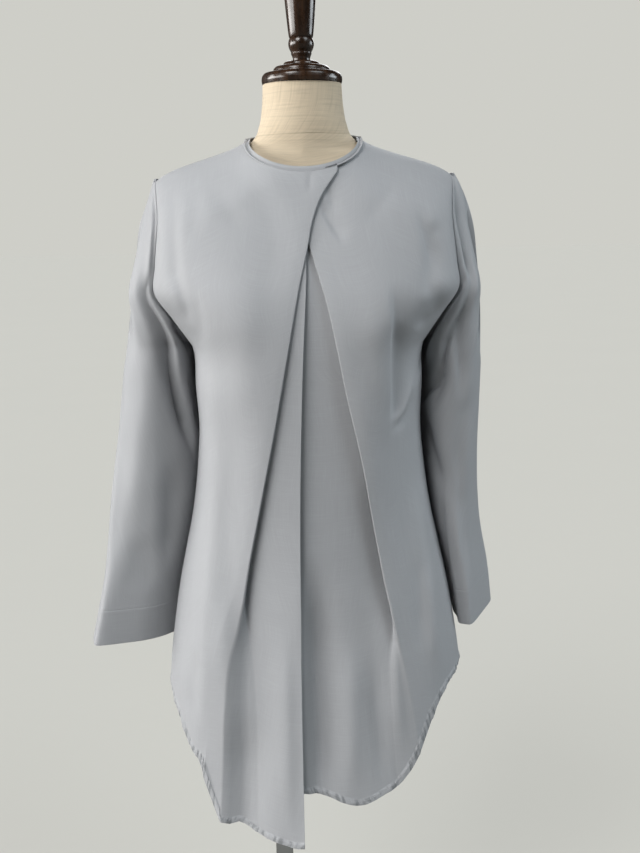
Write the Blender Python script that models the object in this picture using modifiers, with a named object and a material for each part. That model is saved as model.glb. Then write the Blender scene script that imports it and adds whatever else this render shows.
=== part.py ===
"""A tunic blouse with a crossed and pleated front, worn on a limbless dress form on a pole stand.

Metres, +Z up. The front faces -Y and the wearer's left is +X. The origin is on the floor under the
form's neck. Cloth pieces are open surfaces, worked out from the tables below, with Solidify for their
wall. Hidden pleat layers lie 1.8 mm apart, and pieces are kept a seam's gap apart.
"""

import math

import bmesh
import bpy
import numpy as np
from mathutils import Vector

MM = 0.001

# Cloth
WALL = 1.0 * MM
HALF_SEAM = 0.35 * MM
FRONT = -1
BACK = 1

# Neckline and shoulders
NECK_HALF_WIDTH = 72 * MM
NECK_SIDE_HEIGHT = 1.403
NECK_FRONT_DROP = 41.5 * MM
NECK_BACK_RISE = 12 * MM
NECK_CROWN = 22.3 * MM
SHOULDER_SLOPE = 0.285
SHOULDER_CURL = 6 * MM
SHOULDER_CURL_LENGTH = 15 * MM
SHOULDER_TIP = 190 * MM
SHOULDER_TIP_DROP = 8 * MM
SHOULDER_ROUND = 75 * MM
BINDING_WIDTH = 5 * MM
BINDING_LEAN = 1.5 * MM
BINDING_WALL = 1.2 * MM
BINDING_LIFT = 1.2 * MM

# Armhole: an upright oval between the shoulder tip and the underarm
ARMHOLE_TOP = 1.358
ARMHOLE_BOTTOM = 1.150
ARMHOLE_MIDDLE = (ARMHOLE_TOP + ARMHOLE_BOTTOM) / 2
ARMHOLE_RISE = (ARMHOLE_TOP - ARMHOLE_BOTTOM) / 2
ARMHOLE_FRONT = 55 * MM
ARMHOLE_BACK = 60 * MM
ARMHOLE_GAP = 1.8 * MM
SIDE_Y = 5 * MM
SIDE_HEM_HEIGHT = 0.68

# Body section: y runs from the side to the centre as (1 - share ** power) ** 0.5
SECTION_POWER = 2.5
BUST_HALF_SPACING = 82 * MM
BUST_HEIGHT = 1.175
BUST_RISE = 9 * MM
BUST_SPREAD = 46 * MM
BUST_HANG = 0.34

# Crossed front: how far in from its edge a flap lifts, and how wide its curl over the edge is
FLAP_LIFT_WIDTH = 45 * MM
FLAP_CURL_WIDTH = 8 * MM

# Back neck opening
SLIT_HALF_GAP = 0.6 * MM
SLIT_DEPTH = 110 * MM
BUTTON_RADIUS = 5 * MM
BUTTON_THICKNESS = 2.4 * MM
BUTTON_X = 7 * MM
BUTTON_DROP = 7 * MM
LOOP_WIRE = 0.8 * MM

# Sleeve and cuff
CUFF_DEPTH = 50 * MM
CUFF_GAP = 0.4 * MM

# Dress form and stand
POLE_X = -52 * MM
POLE_RADIUS = 12.5 * MM
BASE_RADIUS = 175 * MM
BASE_THICKNESS = 12 * MM
HUB_RADIUS = 26 * MM
HUB_HEIGHT = 32 * MM
SOCKET_BOTTOM = 0.725
FORM_BOTTOM = 0.775
SEAT_GAP = 0.3 * MM

# How many faces each surface gets
ARMHOLE_ROWS = 10
SKIRT_ROWS = 12
SLEEVE_COLUMNS = 20
SLEEVE_ROWS = 14
ROUND_SIDES = 28


class Table:
    """Rows of sizes with named columns, read between rows along a smooth curve. The first column is the key."""

    def __init__(self, names, rows):
        self.names = names.split()
        self.rows = np.array(sorted(rows), float)
        self.keys = self.rows[:, 0]
        self.slopes = np.gradient(self.rows, self.keys, axis=0)

    def at(self, key, name):
        column = self.names.index(name)
        key = np.clip(np.asarray(key, float), self.keys[0], self.keys[-1])
        low = np.clip(np.searchsorted(self.keys, key) - 1, 0, len(self.keys) - 2)
        span = self.keys[low + 1] - self.keys[low]
        t = (key - self.keys[low]) / span
        start, end = self.rows[low, column], self.rows[low + 1, column]
        leave, arrive = self.slopes[low, column] * span, self.slopes[low + 1, column] * span
        return (
            start * (2 * t**3 - 3 * t**2 + 1)
            + leave * (t**3 - 2 * t**2 + t)
            + end * (3 * t**2 - 2 * t**3)
            + arrive * (t**3 - t**2)
        )


# The cloth body at each height, in metres
BODY = Table(
    "height half_width front back",
    [
        (1.420, 0.190, -0.040, 0.110),
        (1.403, 0.190, -0.058, 0.110),
        (1.361, 0.190, -0.078, 0.109),
        (1.310, 0.184, -0.100, 0.110),
        (1.250, 0.189, -0.122, 0.112),
        (1.218, 0.192, -0.131, 0.112),
        (1.185, 0.172, -0.136, 0.111),
        (1.150, 0.1535, -0.138, 0.110),
        (1.090, 0.150, -0.137, 0.107),
        (1.040, 0.148, -0.135, 0.105),
        (0.990, 0.152, -0.133, 0.107),
        (0.920, 0.162, -0.131, 0.113),
        (0.870, 0.173, -0.131, 0.120),
        (0.820, 0.184, -0.132, 0.128),
        (0.770, 0.193, -0.133, 0.133),
        (0.700, 0.203, -0.136, 0.140),
        (0.600, 0.207, -0.140, 0.148),
        (0.480, 0.210, -0.146, 0.155),
    ],
)

# Each front half at each height, in millimetres across. "across" runs from the half's own side
# seam to the other side, and "depth" runs inwards from the body's surface.
# edge: the visible fold; under: how far the cloth turns back under it, below 0 where the fold has
# opened into a wave; end: the inner edge; lap: how far from the edge the two halves lie doubled
FRONT_RIGHT = Table(
    "height edge under end edge_depth valley_depth end_depth edge_radius valley_radius lap",
    [
        (1.362, 40, 11, 35, -3.6, 0.0, 0.0, 0.9, 0.9, 76),
        (1.333, 20, 12, 15, -3.6, 0.0, 0.0, 0.9, 0.9, 36),
        (1.299, 7, 13, 3.5, -3.6, 0.0, 0.0, 0.9, 0.9, 10),
        (1.276, 2.5, 15, 1.2, -3.4, 0.6, 0.0, 0.9, 0.9, 2),
        (1.232, -8, 20, -0.7, -3.0, 3.0, 0.3, 1.0, 1.2, 0),
        (1.140, -26, 24, -6.5, -3.0, 5.5, 0.3, 1.0, 1.8, 0),
        (1.047, -44, 26, -11, -3.0, 7.5, 0.0, 1.0, 2.0, 0),
        (0.930, -69, 25, -15, -4.0, 9.5, -1.0, 1.4, 2.5, 0),
        (0.880, -80, 17, -16, -4.0, 10.5, -2.0, 1.8, 2.8, 0),
        (0.840, -87, 8, -16.5, -3.0, 11.5, -3.0, 2.8, 3.2, 0),
        (0.800, -94, -3, -17, -2.0, 12.0, -3.0, 4.4, 5.0, 0),
        (0.752, -101, -12, -18, -1.0, 12.0, -3.0, 8.0, 8.0, 0),
        (0.700, -106, -17, -18.5, 0.0, 11.0, -4.0, 10.0, 10.0, 0),
        (0.600, -114, -20, -19, 0.0, 9.0, -5.0, 13.0, 13.0, 0),
        (0.480, -122, -22, -19.5, 0.0, 8.0, -6.0, 15.0, 15.0, 0),
    ],
)
FRONT_LEFT = Table(
    "height edge under end edge_depth valley_depth end_depth edge_radius valley_radius lap",
    [
        (1.362, 34, 11, 29, 1.8, 5.4, 5.4, 0.9, 0.9, 76),
        (1.333, 15, 12, 10, 1.8, 5.4, 5.4, 0.9, 0.9, 37),
        (1.299, 2, 13, -2, 1.8, 5.4, 5.4, 0.9, 0.9, 11),
        (1.276, -4, 15, -2, 1.6, 5.5, 5.4, 0.9, 0.9, 2),
        (1.262, -8, 17, 1, 0.5, 6.0, 5.4, 1.0, 1.1, 0),
        (1.211, -22.6, 22, 17, -2.0, 8.0, 5.5, 1.0, 1.4, 0),
        (1.157, -33.6, 24, 25, -3.0, 10.0, 6.5, 1.0, 1.8, 0),
        (1.100, -43.6, 26, 30, -3.0, 11.5, 6.5, 1.0, 2.2, 0),
        (1.027, -58.5, 26, 34, -3.0, 13.0, 6.5, 1.0, 2.5, 0),
        (0.949, -72.5, 26, 36, -4.0, 14.0, 6.5, 1.2, 2.5, 0),
        (0.880, -85, 20, 38, -4.0, 15.0, 6.0, 1.8, 3.0, 0),
        (0.830, -94, 11, 38, -3.5, 15.0, 5.5, 3.0, 4.2, 0),
        (0.785, -102, 0, 38, -2.5, 14.5, 5.5, 5.0, 5.6, 0),
        (0.740, -109, -9, 38, -1.5, 13.5, 5.0, 7.5, 7.5, 0),
        (0.670, -119, -13, 38, 0.0, 11.0, 4.5, 10.0, 10.0, 0),
        (0.520, -136, -15, 38, 0.0, 8.0, 4.0, 13.0, 13.0, 0),
    ],
)

# The hems, as height over the width across, in metres
HEM_RIGHT = Table(
    "x height",
    [
        (-0.215, 0.700),
        (-0.206, 0.676),
        (-0.190, 0.646),
        (-0.175, 0.612),
        (-0.156, 0.582),
        (-0.147, 0.544),
        (-0.137, 0.520),
        (-0.115, 0.511),
        (-0.088, 0.503),
        (-0.055, 0.496),
        (-0.027, 0.492),
        (-0.016, 0.494),
    ],
)
HEM_LEFT = Table(
    "x height",
    [
        (-0.070, 0.572),
        (-0.020, 0.565),
        (0.020, 0.554),
        (0.055, 0.543),
        (0.085, 0.552),
        (0.115, 0.570),
        (0.135, 0.600),
        (0.155, 0.648),
        (0.173, 0.678),
        (0.195, 0.692),
        (0.215, 0.696),
    ],
)
HEM_BACK = Table(
    "x height",
    [
        (-0.215, 0.700),
        (-0.204, 0.664),
        (-0.188, 0.604),
        (-0.150, 0.549),
        (-0.080, 0.514),
        (0.000, 0.503),
        (0.080, 0.516),
        (0.150, 0.560),
        (0.190, 0.630),
        (0.206, 0.693),
        (0.215, 0.720),
    ],
)

# Long soft folds on the body, in metres, from one point to another; rise is outwards
FRONT_FOLDS = Table(
    "order x_top z_top x_low z_low spread rise",
    [
        (0, -0.118, 1.170, -0.146, 0.640, 0.020, 0.007),
        (1, -0.158, 1.050, -0.178, 0.720, 0.014, -0.005),
        (2, 0.150, 1.120, 0.103, 1.055, 0.009, 0.006),
        (3, 0.104, 1.180, 0.104, 1.050, 0.013, -0.005),
        (4, 0.140, 0.960, 0.166, 0.700, 0.016, 0.006),
        (5, -0.165, 1.310, -0.160, 1.230, 0.010, -0.005),
        (6, 0.160, 1.300, 0.150, 1.200, 0.011, -0.006),
    ],
)
BACK_FOLDS = Table(
    "order x_top z_top x_low z_low spread rise",
    [
        (0, -0.100, 1.120, -0.128, 0.560, 0.021, 0.010),
        (1, -0.048, 1.000, -0.056, 0.520, 0.020, -0.009),
        (2, 0.006, 1.080, 0.010, 0.510, 0.023, 0.010),
        (3, 0.056, 0.980, 0.072, 0.530, 0.020, -0.010),
        (4, 0.106, 1.120, 0.134, 0.580, 0.021, 0.010),
        (5, -0.140, 1.290, -0.120, 1.200, 0.013, -0.005),
        (6, 0.142, 1.290, 0.122, 1.200, 0.013, -0.005),
    ],
)

# Sleeve rings at each height: centre outwards from the middle and centre y, half-widths outwards
# and from front to back, in metres, and how far the ring is turned, in degrees
SLEEVE_RIGHT = Table(
    "height out y half_out half_y turn",
    [
        (1.360, 0.1600, 0.005, 0.0320, 0.034, 0),
        (1.340, 0.1640, 0.005, 0.0350, 0.040, 0),
        (1.300, 0.1690, 0.006, 0.0460, 0.049, 0),
        (1.262, 0.1720, 0.007, 0.0495, 0.053, 0),
        (1.205, 0.1810, 0.008, 0.0500, 0.053, 0),
        (1.146, 0.1995, 0.010, 0.0415, 0.050, 0),
        (1.086, 0.2030, 0.010, 0.0480, 0.046, -1),
        (1.004, 0.2095, 0.010, 0.0535, 0.040, -3),
        (0.940, 0.2180, 0.008, 0.0555, 0.035, -5),
        (0.876, 0.2290, 0.005, 0.0530, 0.030, -8),
        (0.810, 0.2410, 0.002, 0.0515, 0.025, -11),
        (0.785, 0.2460, 0.001, 0.0520, 0.023, -12),
        (0.733, 0.2560, 0.000, 0.0545, 0.019, -14),
    ],
)
SLEEVE_LEFT = Table(
    "height out y half_out half_y turn",
    [
        (1.360, 0.1600, 0.005, 0.0320, 0.034, 0),
        (1.340, 0.1650, 0.005, 0.0380, 0.040, 0),
        (1.300, 0.1720, 0.006, 0.0455, 0.049, 0),
        (1.253, 0.1780, 0.007, 0.0460, 0.053, 0),
        (1.194, 0.1850, 0.009, 0.0445, 0.055, 0),
        (1.133, 0.1945, 0.012, 0.0365, 0.056, -2),
        (1.050, 0.1925, 0.016, 0.0375, 0.054, -8),
        (0.987, 0.1945, 0.020, 0.0340, 0.053, -15),
        (0.922, 0.2000, 0.024, 0.0280, 0.053, -20),
        (0.856, 0.2095, 0.026, 0.0215, 0.053, -24),
        (0.811, 0.2185, 0.027, 0.0180, 0.053, -25),
        (0.748, 0.2275, 0.028, 0.0150, 0.052, -26),
    ],
)

# Sleeve folds over the ring angle, in degrees from the outer side towards the front, and height
SLEEVE_RIGHT_FOLDS = Table(
    "order a_top z_top a_low z_low spread rise",
    [
        (0, 40, 1.325, 92, 1.215, 11, -0.007),
        (1, 28, 1.300, 62, 1.150, 12, 0.004),
        (2, 98, 1.200, 150, 1.015, 13, -0.009),
        (3, 80, 1.120, 95, 0.860, 20, 0.004),
        (4, 250, 1.180, 290, 0.900, 22, 0.006),
        (5, 220, 1.080, 240, 0.850, 16, -0.006),
    ],
)
SLEEVE_LEFT_FOLDS = Table(
    "order a_top z_top a_low z_low spread rise",
    [
        (0, 42, 1.325, 80, 1.215, 11, -0.009),
        (1, 24, 1.300, 50, 1.130, 12, 0.004),
        (2, 92, 1.190, 130, 1.060, 14, -0.008),
        (3, 60, 1.080, 70, 0.900, 18, -0.005),
        (4, 250, 1.180, 290, 0.900, 22, 0.006),
        (5, 220, 1.080, 240, 0.850, 16, -0.006),
    ],
)

# The form's rings, in metres: half width, front and back y, the y of its ridge, and how square it is
FORM = Table(
    "height half_width front back middle power",
    [
        (0.775, 0.142, -0.090, 0.100, 0.000, 2.2),
        (0.781, 0.149, -0.095, 0.105, 0.000, 2.2),
        (0.795, 0.153, -0.098, 0.108, 0.000, 2.2),
        (0.860, 0.156, -0.100, 0.108, 0.000, 2.2),
        (0.910, 0.149, -0.099, 0.101, 0.000, 2.2),
        (0.970, 0.134, -0.096, 0.090, 0.000, 2.2),
        (1.030, 0.124, -0.094, 0.085, 0.000, 2.2),
        (1.090, 0.127, -0.104, 0.088, 0.000, 2.2),
        (1.140, 0.136, -0.117, 0.092, 0.000, 2.2),
        (1.180, 0.144, -0.120, 0.096, 0.000, 2.2),
        (1.220, 0.152, -0.112, 0.098, 0.001, 2.2),
        (1.260, 0.158, -0.098, 0.098, 0.002, 2.1),
        (1.300, 0.162, -0.082, 0.093, 0.003, 2),
        (1.330, 0.162, -0.068, 0.083, 0.004, 1.9),
        (1.352, 0.158, -0.058, 0.070, 0.005, 1.75),
        (1.366, 0.145, -0.053, 0.062, 0.005, 1.6),
        (1.3755, 0.128, -0.050, 0.058, 0.005, 1.5),
        (1.3858, 0.1088, -0.048, 0.055, 0.005, 1.45),
        (1.390, 0.088, -0.048, 0.054, 0.005, 1.5),
        (1.396, 0.074, -0.047, 0.0535, 0.004, 1.65),
        (1.405, 0.063, -0.047, 0.0525, 0.003, 1.85),
        (1.421, 0.0555, -0.048, 0.051, 0.002, 2),
        (1.442, 0.0515, -0.048, 0.050, 0.001, 2),
        (1.470, 0.0495, -0.048, 0.049, 0.000, 2),
    ],
)

# Turned wood over the neck: a stepped cap, then a column with a ball foot
CAP_PROFILE = Table(
    "order radius height",
    [
        (0, 0.0500, 1.4706),
        (1, 0.0508, 1.4750),
        (2, 0.0500, 1.4800),
        (3, 0.0470, 1.4835),
        (4, 0.0360, 1.4845),
        (5, 0.0355, 1.4885),
        (6, 0.0325, 1.4915),
        (7, 0.0235, 1.4925),
        (8, 0.0222, 1.4960),
        (9, 0.0190, 1.4975),
    ],
)
COLUMN_PROFILE = Table(
    "order radius height",
    [
        (0, 0.0105, 1.4978),
        (1, 0.0110, 1.5020),
        (2, 0.0128, 1.5065),
        (3, 0.0128, 1.5085),
        (4, 0.0150, 1.5130),
        (5, 0.0160, 1.5180),
        (6, 0.0152, 1.5230),
        (7, 0.0138, 1.5258),
        (8, 0.0152, 1.5275),
        (9, 0.0174, 1.5480),
        (10, 0.0196, 1.5740),
        (11, 0.0214, 1.6050),
        (12, 0.0222, 1.6320),
        (13, 0.0212, 1.6430),
        (14, 0.0170, 1.6520),
        (15, 0.0090, 1.6570),
    ],
)


def smooth_step(t):
    t = np.clip(t, 0, 1)
    return t * t * (3 - 2 * t)


def material(name, colour, roughness, metallic=0.0):
    made = bpy.data.materials.new(name)
    made.use_nodes = True
    shader = made.node_tree.nodes["Principled BSDF"]
    shader.inputs["Base Color"].default_value = (*colour, 1)
    shader.inputs["Roughness"].default_value = roughness
    shader.inputs["Metallic"].default_value = metallic
    return made


def shoulder_height(x):
    """The height of the shoulder line, carried on over the neck as a low crown."""
    outward = np.abs(x) - NECK_HALF_WIDTH
    curl = SHOULDER_CURL * np.exp(-np.maximum(outward, 0) / SHOULDER_CURL_LENGTH)
    tip = SHOULDER_TIP_DROP * np.clip(outward / (SHOULDER_TIP - NECK_HALF_WIDTH), 0, 1.1) ** 8
    line = NECK_SIDE_HEIGHT - SHOULDER_CURL - SHOULDER_SLOPE * outward + curl - tip
    crown = NECK_SIDE_HEIGHT + NECK_CROWN * (1 - (x / NECK_HALF_WIDTH) ** 2)
    return np.where(outward > 0, line, crown)


def top_height(x, facing):
    """The height of a panel's top edge: the shoulder seam, then the neckline."""
    reach = np.sqrt(np.clip(1 - (x / NECK_HALF_WIDTH) ** 2, 0, 1))
    drop = -NECK_FRONT_DROP if facing == FRONT else NECK_BACK_RISE
    neckline = NECK_SIDE_HEIGHT + drop * (reach if facing == FRONT else reach**2)
    return np.where(np.abs(x) > NECK_HALF_WIDTH, shoulder_height(x), neckline)


def side_y(z, facing):
    """The y of the armhole's edge, and of the side seam below it."""
    reach = np.sqrt(np.clip(1 - ((z - ARMHOLE_MIDDLE) / ARMHOLE_RISE) ** 2, 0, 1))
    depth = ARMHOLE_FRONT if facing == FRONT else ARMHOLE_BACK
    return SIDE_Y + facing * (depth * reach + HALF_SEAM)


def folds(table, x, z):
    """The summed rise of a table of soft folds. Each fades in and out along its length."""
    total = np.zeros(np.broadcast(x, z).shape)
    for _, x_top, z_top, x_low, z_low, spread, rise in table.rows:
        along = (z_top - z) / (z_top - z_low)
        middle = x_top + (x_low - x_top) * along
        fade = smooth_step(along / 0.25 + 0.3) * smooth_step((1 - along) / 0.3 + 0.3)
        total = total + rise * fade * np.exp(-(((x - middle) / spread) ** 2))
    return total


def body_relief(x, z, facing):
    """How far the cloth stands out from the plain body section: the bust it hangs from, and its folds."""
    relief = folds(FRONT_FOLDS if facing == FRONT else BACK_FOLDS, x, z)
    if facing == FRONT:
        below = np.clip((BUST_HEIGHT - z) / BUST_HANG, 0, 1)
        above = np.clip((z - BUST_HEIGHT) / (1.6 * BUST_SPREAD), 0, None)
        upright = np.where(z < BUST_HEIGHT, 1 - smooth_step(below), np.exp(-(above**2)))
        across = np.exp(-(((np.abs(x) - BUST_HALF_SPACING) / BUST_SPREAD) ** 2))
        relief = relief + BUST_RISE * upright * across
    return relief


def body_point(x, z, facing, depth=0.0):
    """A point of the cloth body at that x and height, moved inwards by depth."""
    half_width = BODY.at(z, "half_width")
    share = np.clip(np.abs(x) / half_width, 0, 1)
    rim = side_y(z, facing)
    centre = BODY.at(z, "front" if facing == FRONT else "back")
    y = rim + (centre - rim) * np.sqrt(1 - share**SECTION_POWER)
    drop = np.clip((shoulder_height(x) - z) / SHOULDER_ROUND, 0, 1)
    seam = SIDE_Y + facing * HALF_SEAM
    y = seam + (y - seam) * np.sqrt(1 - (1 - drop) ** 2)
    sine = np.sign(x) * share ** (SECTION_POWER / 2)
    cosine = facing * np.sqrt(1 - share**SECTION_POWER)
    out = body_relief(x, z, facing) * (1 - share**8) * smooth_step(3 * drop)
    return np.stack([x + out * sine, y + out * cosine - facing * depth, z + 0 * x], axis=-1)


def row_shares(corner_height):
    """How far down each row lies, with close rows round the armhole's oval."""
    angles = np.linspace(0, math.pi, ARMHOLE_ROWS + 1)
    heights = ARMHOLE_MIDDLE + ARMHOLE_RISE * np.cos(angles)
    lower = np.linspace(ARMHOLE_BOTTOM, corner_height, SKIRT_ROWS + 1)[1:]
    return (ARMHOLE_TOP - np.concatenate([heights, lower])) / (ARMHOLE_TOP - corner_height)


def circles(table, z):
    """The two circles that a front half's cloth runs round: over the edge fold, and under the valley fold.

    Both are (across, up, radius), with up pointing outwards from the body's surface.
    """
    edge = table.at(z, "edge") * MM
    edge_radius = table.at(z, "edge_radius") * MM
    valley_radius = table.at(z, "valley_radius") * MM
    edge_up = -table.at(z, "edge_depth") * MM - edge_radius
    valley = edge - table.at(z, "under") * MM + valley_radius
    valley_up = -table.at(z, "valley_depth") * MM + valley_radius
    return (edge - edge_radius, edge_up, edge_radius), (valley, valley_up, valley_radius)


def flap_depth(table, z, across):
    """The flap's depth: the edge's own depth near the edge, fading away from it."""
    away = table.at(z, "edge") * MM - table.at(z, "lap") * MM - across
    return table.at(z, "edge_depth") * MM * (1 - smooth_step(away / FLAP_LIFT_WIDTH))


def flap_end(table, z):
    """(across, up) where the flap's plain part ends and its edge fold begins."""
    (middle, _, radius), _ = circles(table, z)
    across = middle - radius - FLAP_CURL_WIDTH
    return across, -flap_depth(table, z, across)


def fold_directions(table, z):
    """The cloth's direction before the edge fold, between the folds, and after the valley fold."""
    edge, valley = circles(table, z)
    start = flap_end(table, z)
    end = table.at(z, "end") * MM, -table.at(z, "end_depth") * MM

    def bearing(a, b, offset):
        across, up = b[0] - a[0], b[1] - a[1]
        return np.arctan2(up, across), np.arcsin(np.clip(offset / np.hypot(across, up), -1, 1))

    base, lean = bearing(start, edge, edge[2])
    before = base + lean
    base, lean = bearing(edge, valley, edge[2] + valley[2])
    between = np.where(base > math.pi / 2, base - 2 * math.pi, base) - lean
    base, lean = bearing(valley, end, valley[2])
    return before, between, base + lean


def side_spacing(count, degrees):
    """Shares spaced like points on a turn of that many degrees, closest together where it starts."""
    turn = math.radians(degrees)
    return [(1 - math.cos(turn * i / count)) / (1 - math.cos(turn)) for i in range(count)]


def front_columns():
    """The columns of a front half, as (stretch, share along it), from the side seam inwards."""
    shoulder = [("shoulder", share) for share in side_spacing(7, 72)]
    chest = [("chest", share) for share in side_spacing(8, 115)]
    edge = [("edge", i / 4) for i in range(5)]
    turn = [("turn", 0.5)]
    valley = [("valley", i / 4) for i in range(5)]
    under = [("under", i / 5) for i in range(1, 6)]
    return shoulder + chest + edge + turn + valley + under


def front_column(table, stretch, share, z):
    """(across, depth) of one column at heights z."""
    top = table.keys[-1]
    if stretch in ("shoulder", "chest"):
        tip = float(BODY.at(ARMHOLE_TOP, "half_width"))
        corner = (tip - NECK_HALF_WIDTH) / (tip + float(flap_end(table, top)[0]))
        share = corner * share if stretch == "shoulder" else corner + (1 - corner) * share
        half_width = BODY.at(z, "half_width")
        across = -half_width + (flap_end(table, z)[0] + half_width) * share
        return across, flap_depth(table, z, across)
    edge, valley = circles(table, z)
    before, between, after = fold_directions(table, z)

    def round_edge(angle):
        return edge[0] - edge[2] * np.sin(angle), edge[1] + edge[2] * np.cos(angle)

    def round_valley(angle):
        return valley[0] + valley[2] * np.sin(angle), valley[1] - valley[2] * np.cos(angle)

    if stretch == "edge":
        across, up = round_edge(before + (between - before) * share)
    elif stretch == "valley":
        across, up = round_valley(between + (after - between) * share)
    else:
        if stretch == "turn":
            start, end = round_edge(between), round_valley(between)
        else:
            start = round_valley(after)
            end = table.at(z, "end") * MM, -table.at(z, "end_depth") * MM
        across = start[0] + (end[0] - start[0]) * share
        up = start[1] + (end[1] - start[1]) * share
    return across, -up


def settled(height_of, start):
    """The height where a column meets an edge whose height depends on the column's own x."""
    z = np.float64(start)
    for _ in range(40):
        z = 0.5 * (z + height_of(z))
    return float(z)


def front_half(table, hem, side):
    """Rows of points of a front half. side is -1 for the wearer's right half and 1 for the left."""
    corner = float(hem.at(side * BODY.at(SIDE_HEM_HEIGHT, "half_width"), "height"))
    shares = row_shares(corner)
    columns = []
    for stretch, share in front_columns():

        def x_at(z, stretch=stretch, share=share):
            return -side * front_column(table, stretch, share, z)[0]

        top = settled(lambda z: top_height(x_at(z), FRONT), ARMHOLE_TOP)
        low = settled(lambda z: hem.at(x_at(z), "height"), corner)
        z = top + (low - top) * shares
        across, depth = front_column(table, stretch, share, z)
        columns.append(body_point(-side * across, z, FRONT, depth))
    return np.stack(columns, axis=1)


def back_panel():
    """Rows of points of the back, with the neck slit between its two middle columns."""
    reach = BODY.at(SIDE_HEM_HEIGHT, "half_width")
    corners = [float(HEM_BACK.at(side * reach, "height")) for side in (-1, 1)]
    middle_shares = row_shares(sum(corners) / 2)
    tip = float(BODY.at(ARMHOLE_TOP, "half_width"))
    neck = 1 - NECK_HALF_WIDTH / tip
    shoulder = [neck * share for share in side_spacing(7, 72)]
    middle = [neck + (1 - neck) * share for share in side_spacing(6, 90)] + [1.0]
    slit_end = NECK_SIDE_HEIGHT + NECK_BACK_RISE - SLIT_DEPTH
    halves = []
    for side, corner in zip((-1, 1), corners):
        side_shares = row_shares(corner)
        columns = []
        for share in shoulder + middle:

            def x_at(z, side=side, share=share):
                return side * BODY.at(z, "half_width") * (1 - share)

            top = settled(lambda z: top_height(x_at(z), BACK), ARMHOLE_TOP)
            low = settled(lambda z: HEM_BACK.at(x_at(z), "height"), corner)
            # Both halves share their rows at the middle, where they join below the slit
            z = top + (low - top) * (side_shares + (middle_shares - side_shares) * share)
            gap = np.where(z > slit_end, SLIT_HALF_GAP, 0)
            x = side * np.maximum(np.abs(x_at(z)), gap)
            columns.append(body_point(x, z, BACK))
        halves.append(columns if side < 0 else columns[::-1])
    return np.stack(halves[0] + halves[1], axis=1)


def sleeve_ring(table, fold_table, side, angle, z):
    """A point of a sleeve. angle 0 is the outer side, and it grows towards the front.

    Above the underarm, the ring's open ends are pulled onto the armhole's edge.
    """
    signed = np.where(angle > math.pi, angle - 2 * math.pi, angle)
    facing_front = signed >= 0
    rise = folds(fold_table, np.degrees(angle), z)
    turn = np.radians(table.at(z, "turn"))

    def ring(at):
        out = (table.at(z, "half_out") + rise) * np.cos(at)
        fore = (table.at(z, "half_y") + rise) * np.sin(at)
        return (
            table.at(z, "out") + out * np.cos(turn) + fore * np.sin(turn),
            table.at(z, "y") + out * np.sin(turn) - fore * np.cos(turn),
        )

    out, y = ring(signed)
    level = np.clip((z - ARMHOLE_MIDDLE) / ARMHOLE_RISE, -1, 1)
    widest = np.arccos(level)
    pull = smooth_step(np.abs(signed) / np.maximum(widest, 1e-6)) * (z >= ARMHOLE_BOTTOM)
    edge_out, edge_y = ring(np.where(facing_front, widest, -widest))
    seam_z = np.maximum(z, ARMHOLE_BOTTOM)
    width = BODY.at(seam_z, "half_width")
    front = body_point(width, seam_z, FRONT)[..., 1]
    back = body_point(width, seam_z, BACK)[..., 1]
    target_y = np.where(facing_front, front, back)
    out = out + (width + ARMHOLE_GAP - edge_out) * pull
    y = y + (target_y - edge_y) * pull
    return np.stack([side * out, y, z + 0 * out], axis=-1)


def sleeve(table, fold_table, side, low, high=None, rows=SLEEVE_ROWS):
    """Rows of points of a sleeve from its armhole, or from a height high, down to a height low."""
    columns = []
    for i in range(SLEEVE_COLUMNS):
        angle = 2 * math.pi * i / SLEEVE_COLUMNS
        top = ARMHOLE_MIDDLE + ARMHOLE_RISE * math.cos(angle) if high is None else high
        share = np.linspace(0, 1, rows + 1)
        if high is None:
            share = share**1.25
        z = top + (low - top) * share
        columns.append(sleeve_ring(table, fold_table, side, np.full(rows + 1, angle), z))
    return np.stack(columns, axis=1)


def object_of(name, mesh, finish):
    made = bpy.data.objects.new(name, mesh)
    mesh.materials.append(finish)
    bpy.data.collections["tunic_on_form"].objects.link(made)
    return made


def grid_mesh(name, points, closed=False, cut_after=None):
    """A surface through rows of points. closed joins the last column to the first; no face spans cut_after."""
    rows, columns = points.shape[:2]
    made = bmesh.new()
    verts = [[made.verts.new(point) for point in row] for row in points]
    for r in range(rows - 1):
        for c in range(columns if closed else columns - 1):
            if c != cut_after:
                n = (c + 1) % columns
                made.faces.new((verts[r][c], verts[r + 1][c], verts[r + 1][n], verts[r][n]))
    bmesh.ops.remove_doubles(made, verts=made.verts, dist=1e-6)
    bmesh.ops.triangulate(made, faces=made.faces)
    mesh = bpy.data.meshes.new(name)
    made.to_mesh(mesh)
    made.free()
    return mesh


def cloth(name, points, finish, wall=WALL, closed=False, cut_after=None):
    """A cloth piece: an open surface with a wall of even thickness to both sides."""
    made = object_of(name, grid_mesh(name, points, closed, cut_after), finish)
    made.data.shade_smooth()
    shell = made.modifiers.new("wall", "SOLIDIFY")
    shell.thickness = wall
    shell.offset = 0
    shell.use_rim = True
    return made


def turned(name, profile, finish, x=0.0, y=0.0):
    """A solid turned from a profile of (radius, height), lowest first, about an upright axis."""
    outline = [(0.0, profile[0][1]), *profile, (0.0, profile[-1][1])][::-1]
    mesh = bpy.data.meshes.new(name)
    edges = [(i, i + 1) for i in range(len(outline) - 1)]
    mesh.from_pydata([(radius, 0, height) for radius, height in outline], edges, [])
    made = object_of(name, mesh, finish)
    made.location = (x, y, 0)
    lathe = made.modifiers.new("lathe", "SCREW")
    lathe.steps = lathe.render_steps = ROUND_SIDES
    lathe.use_merge_vertices = True
    lathe.merge_threshold = 0.00001
    lathe.use_smooth_shade = True
    return made


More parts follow.
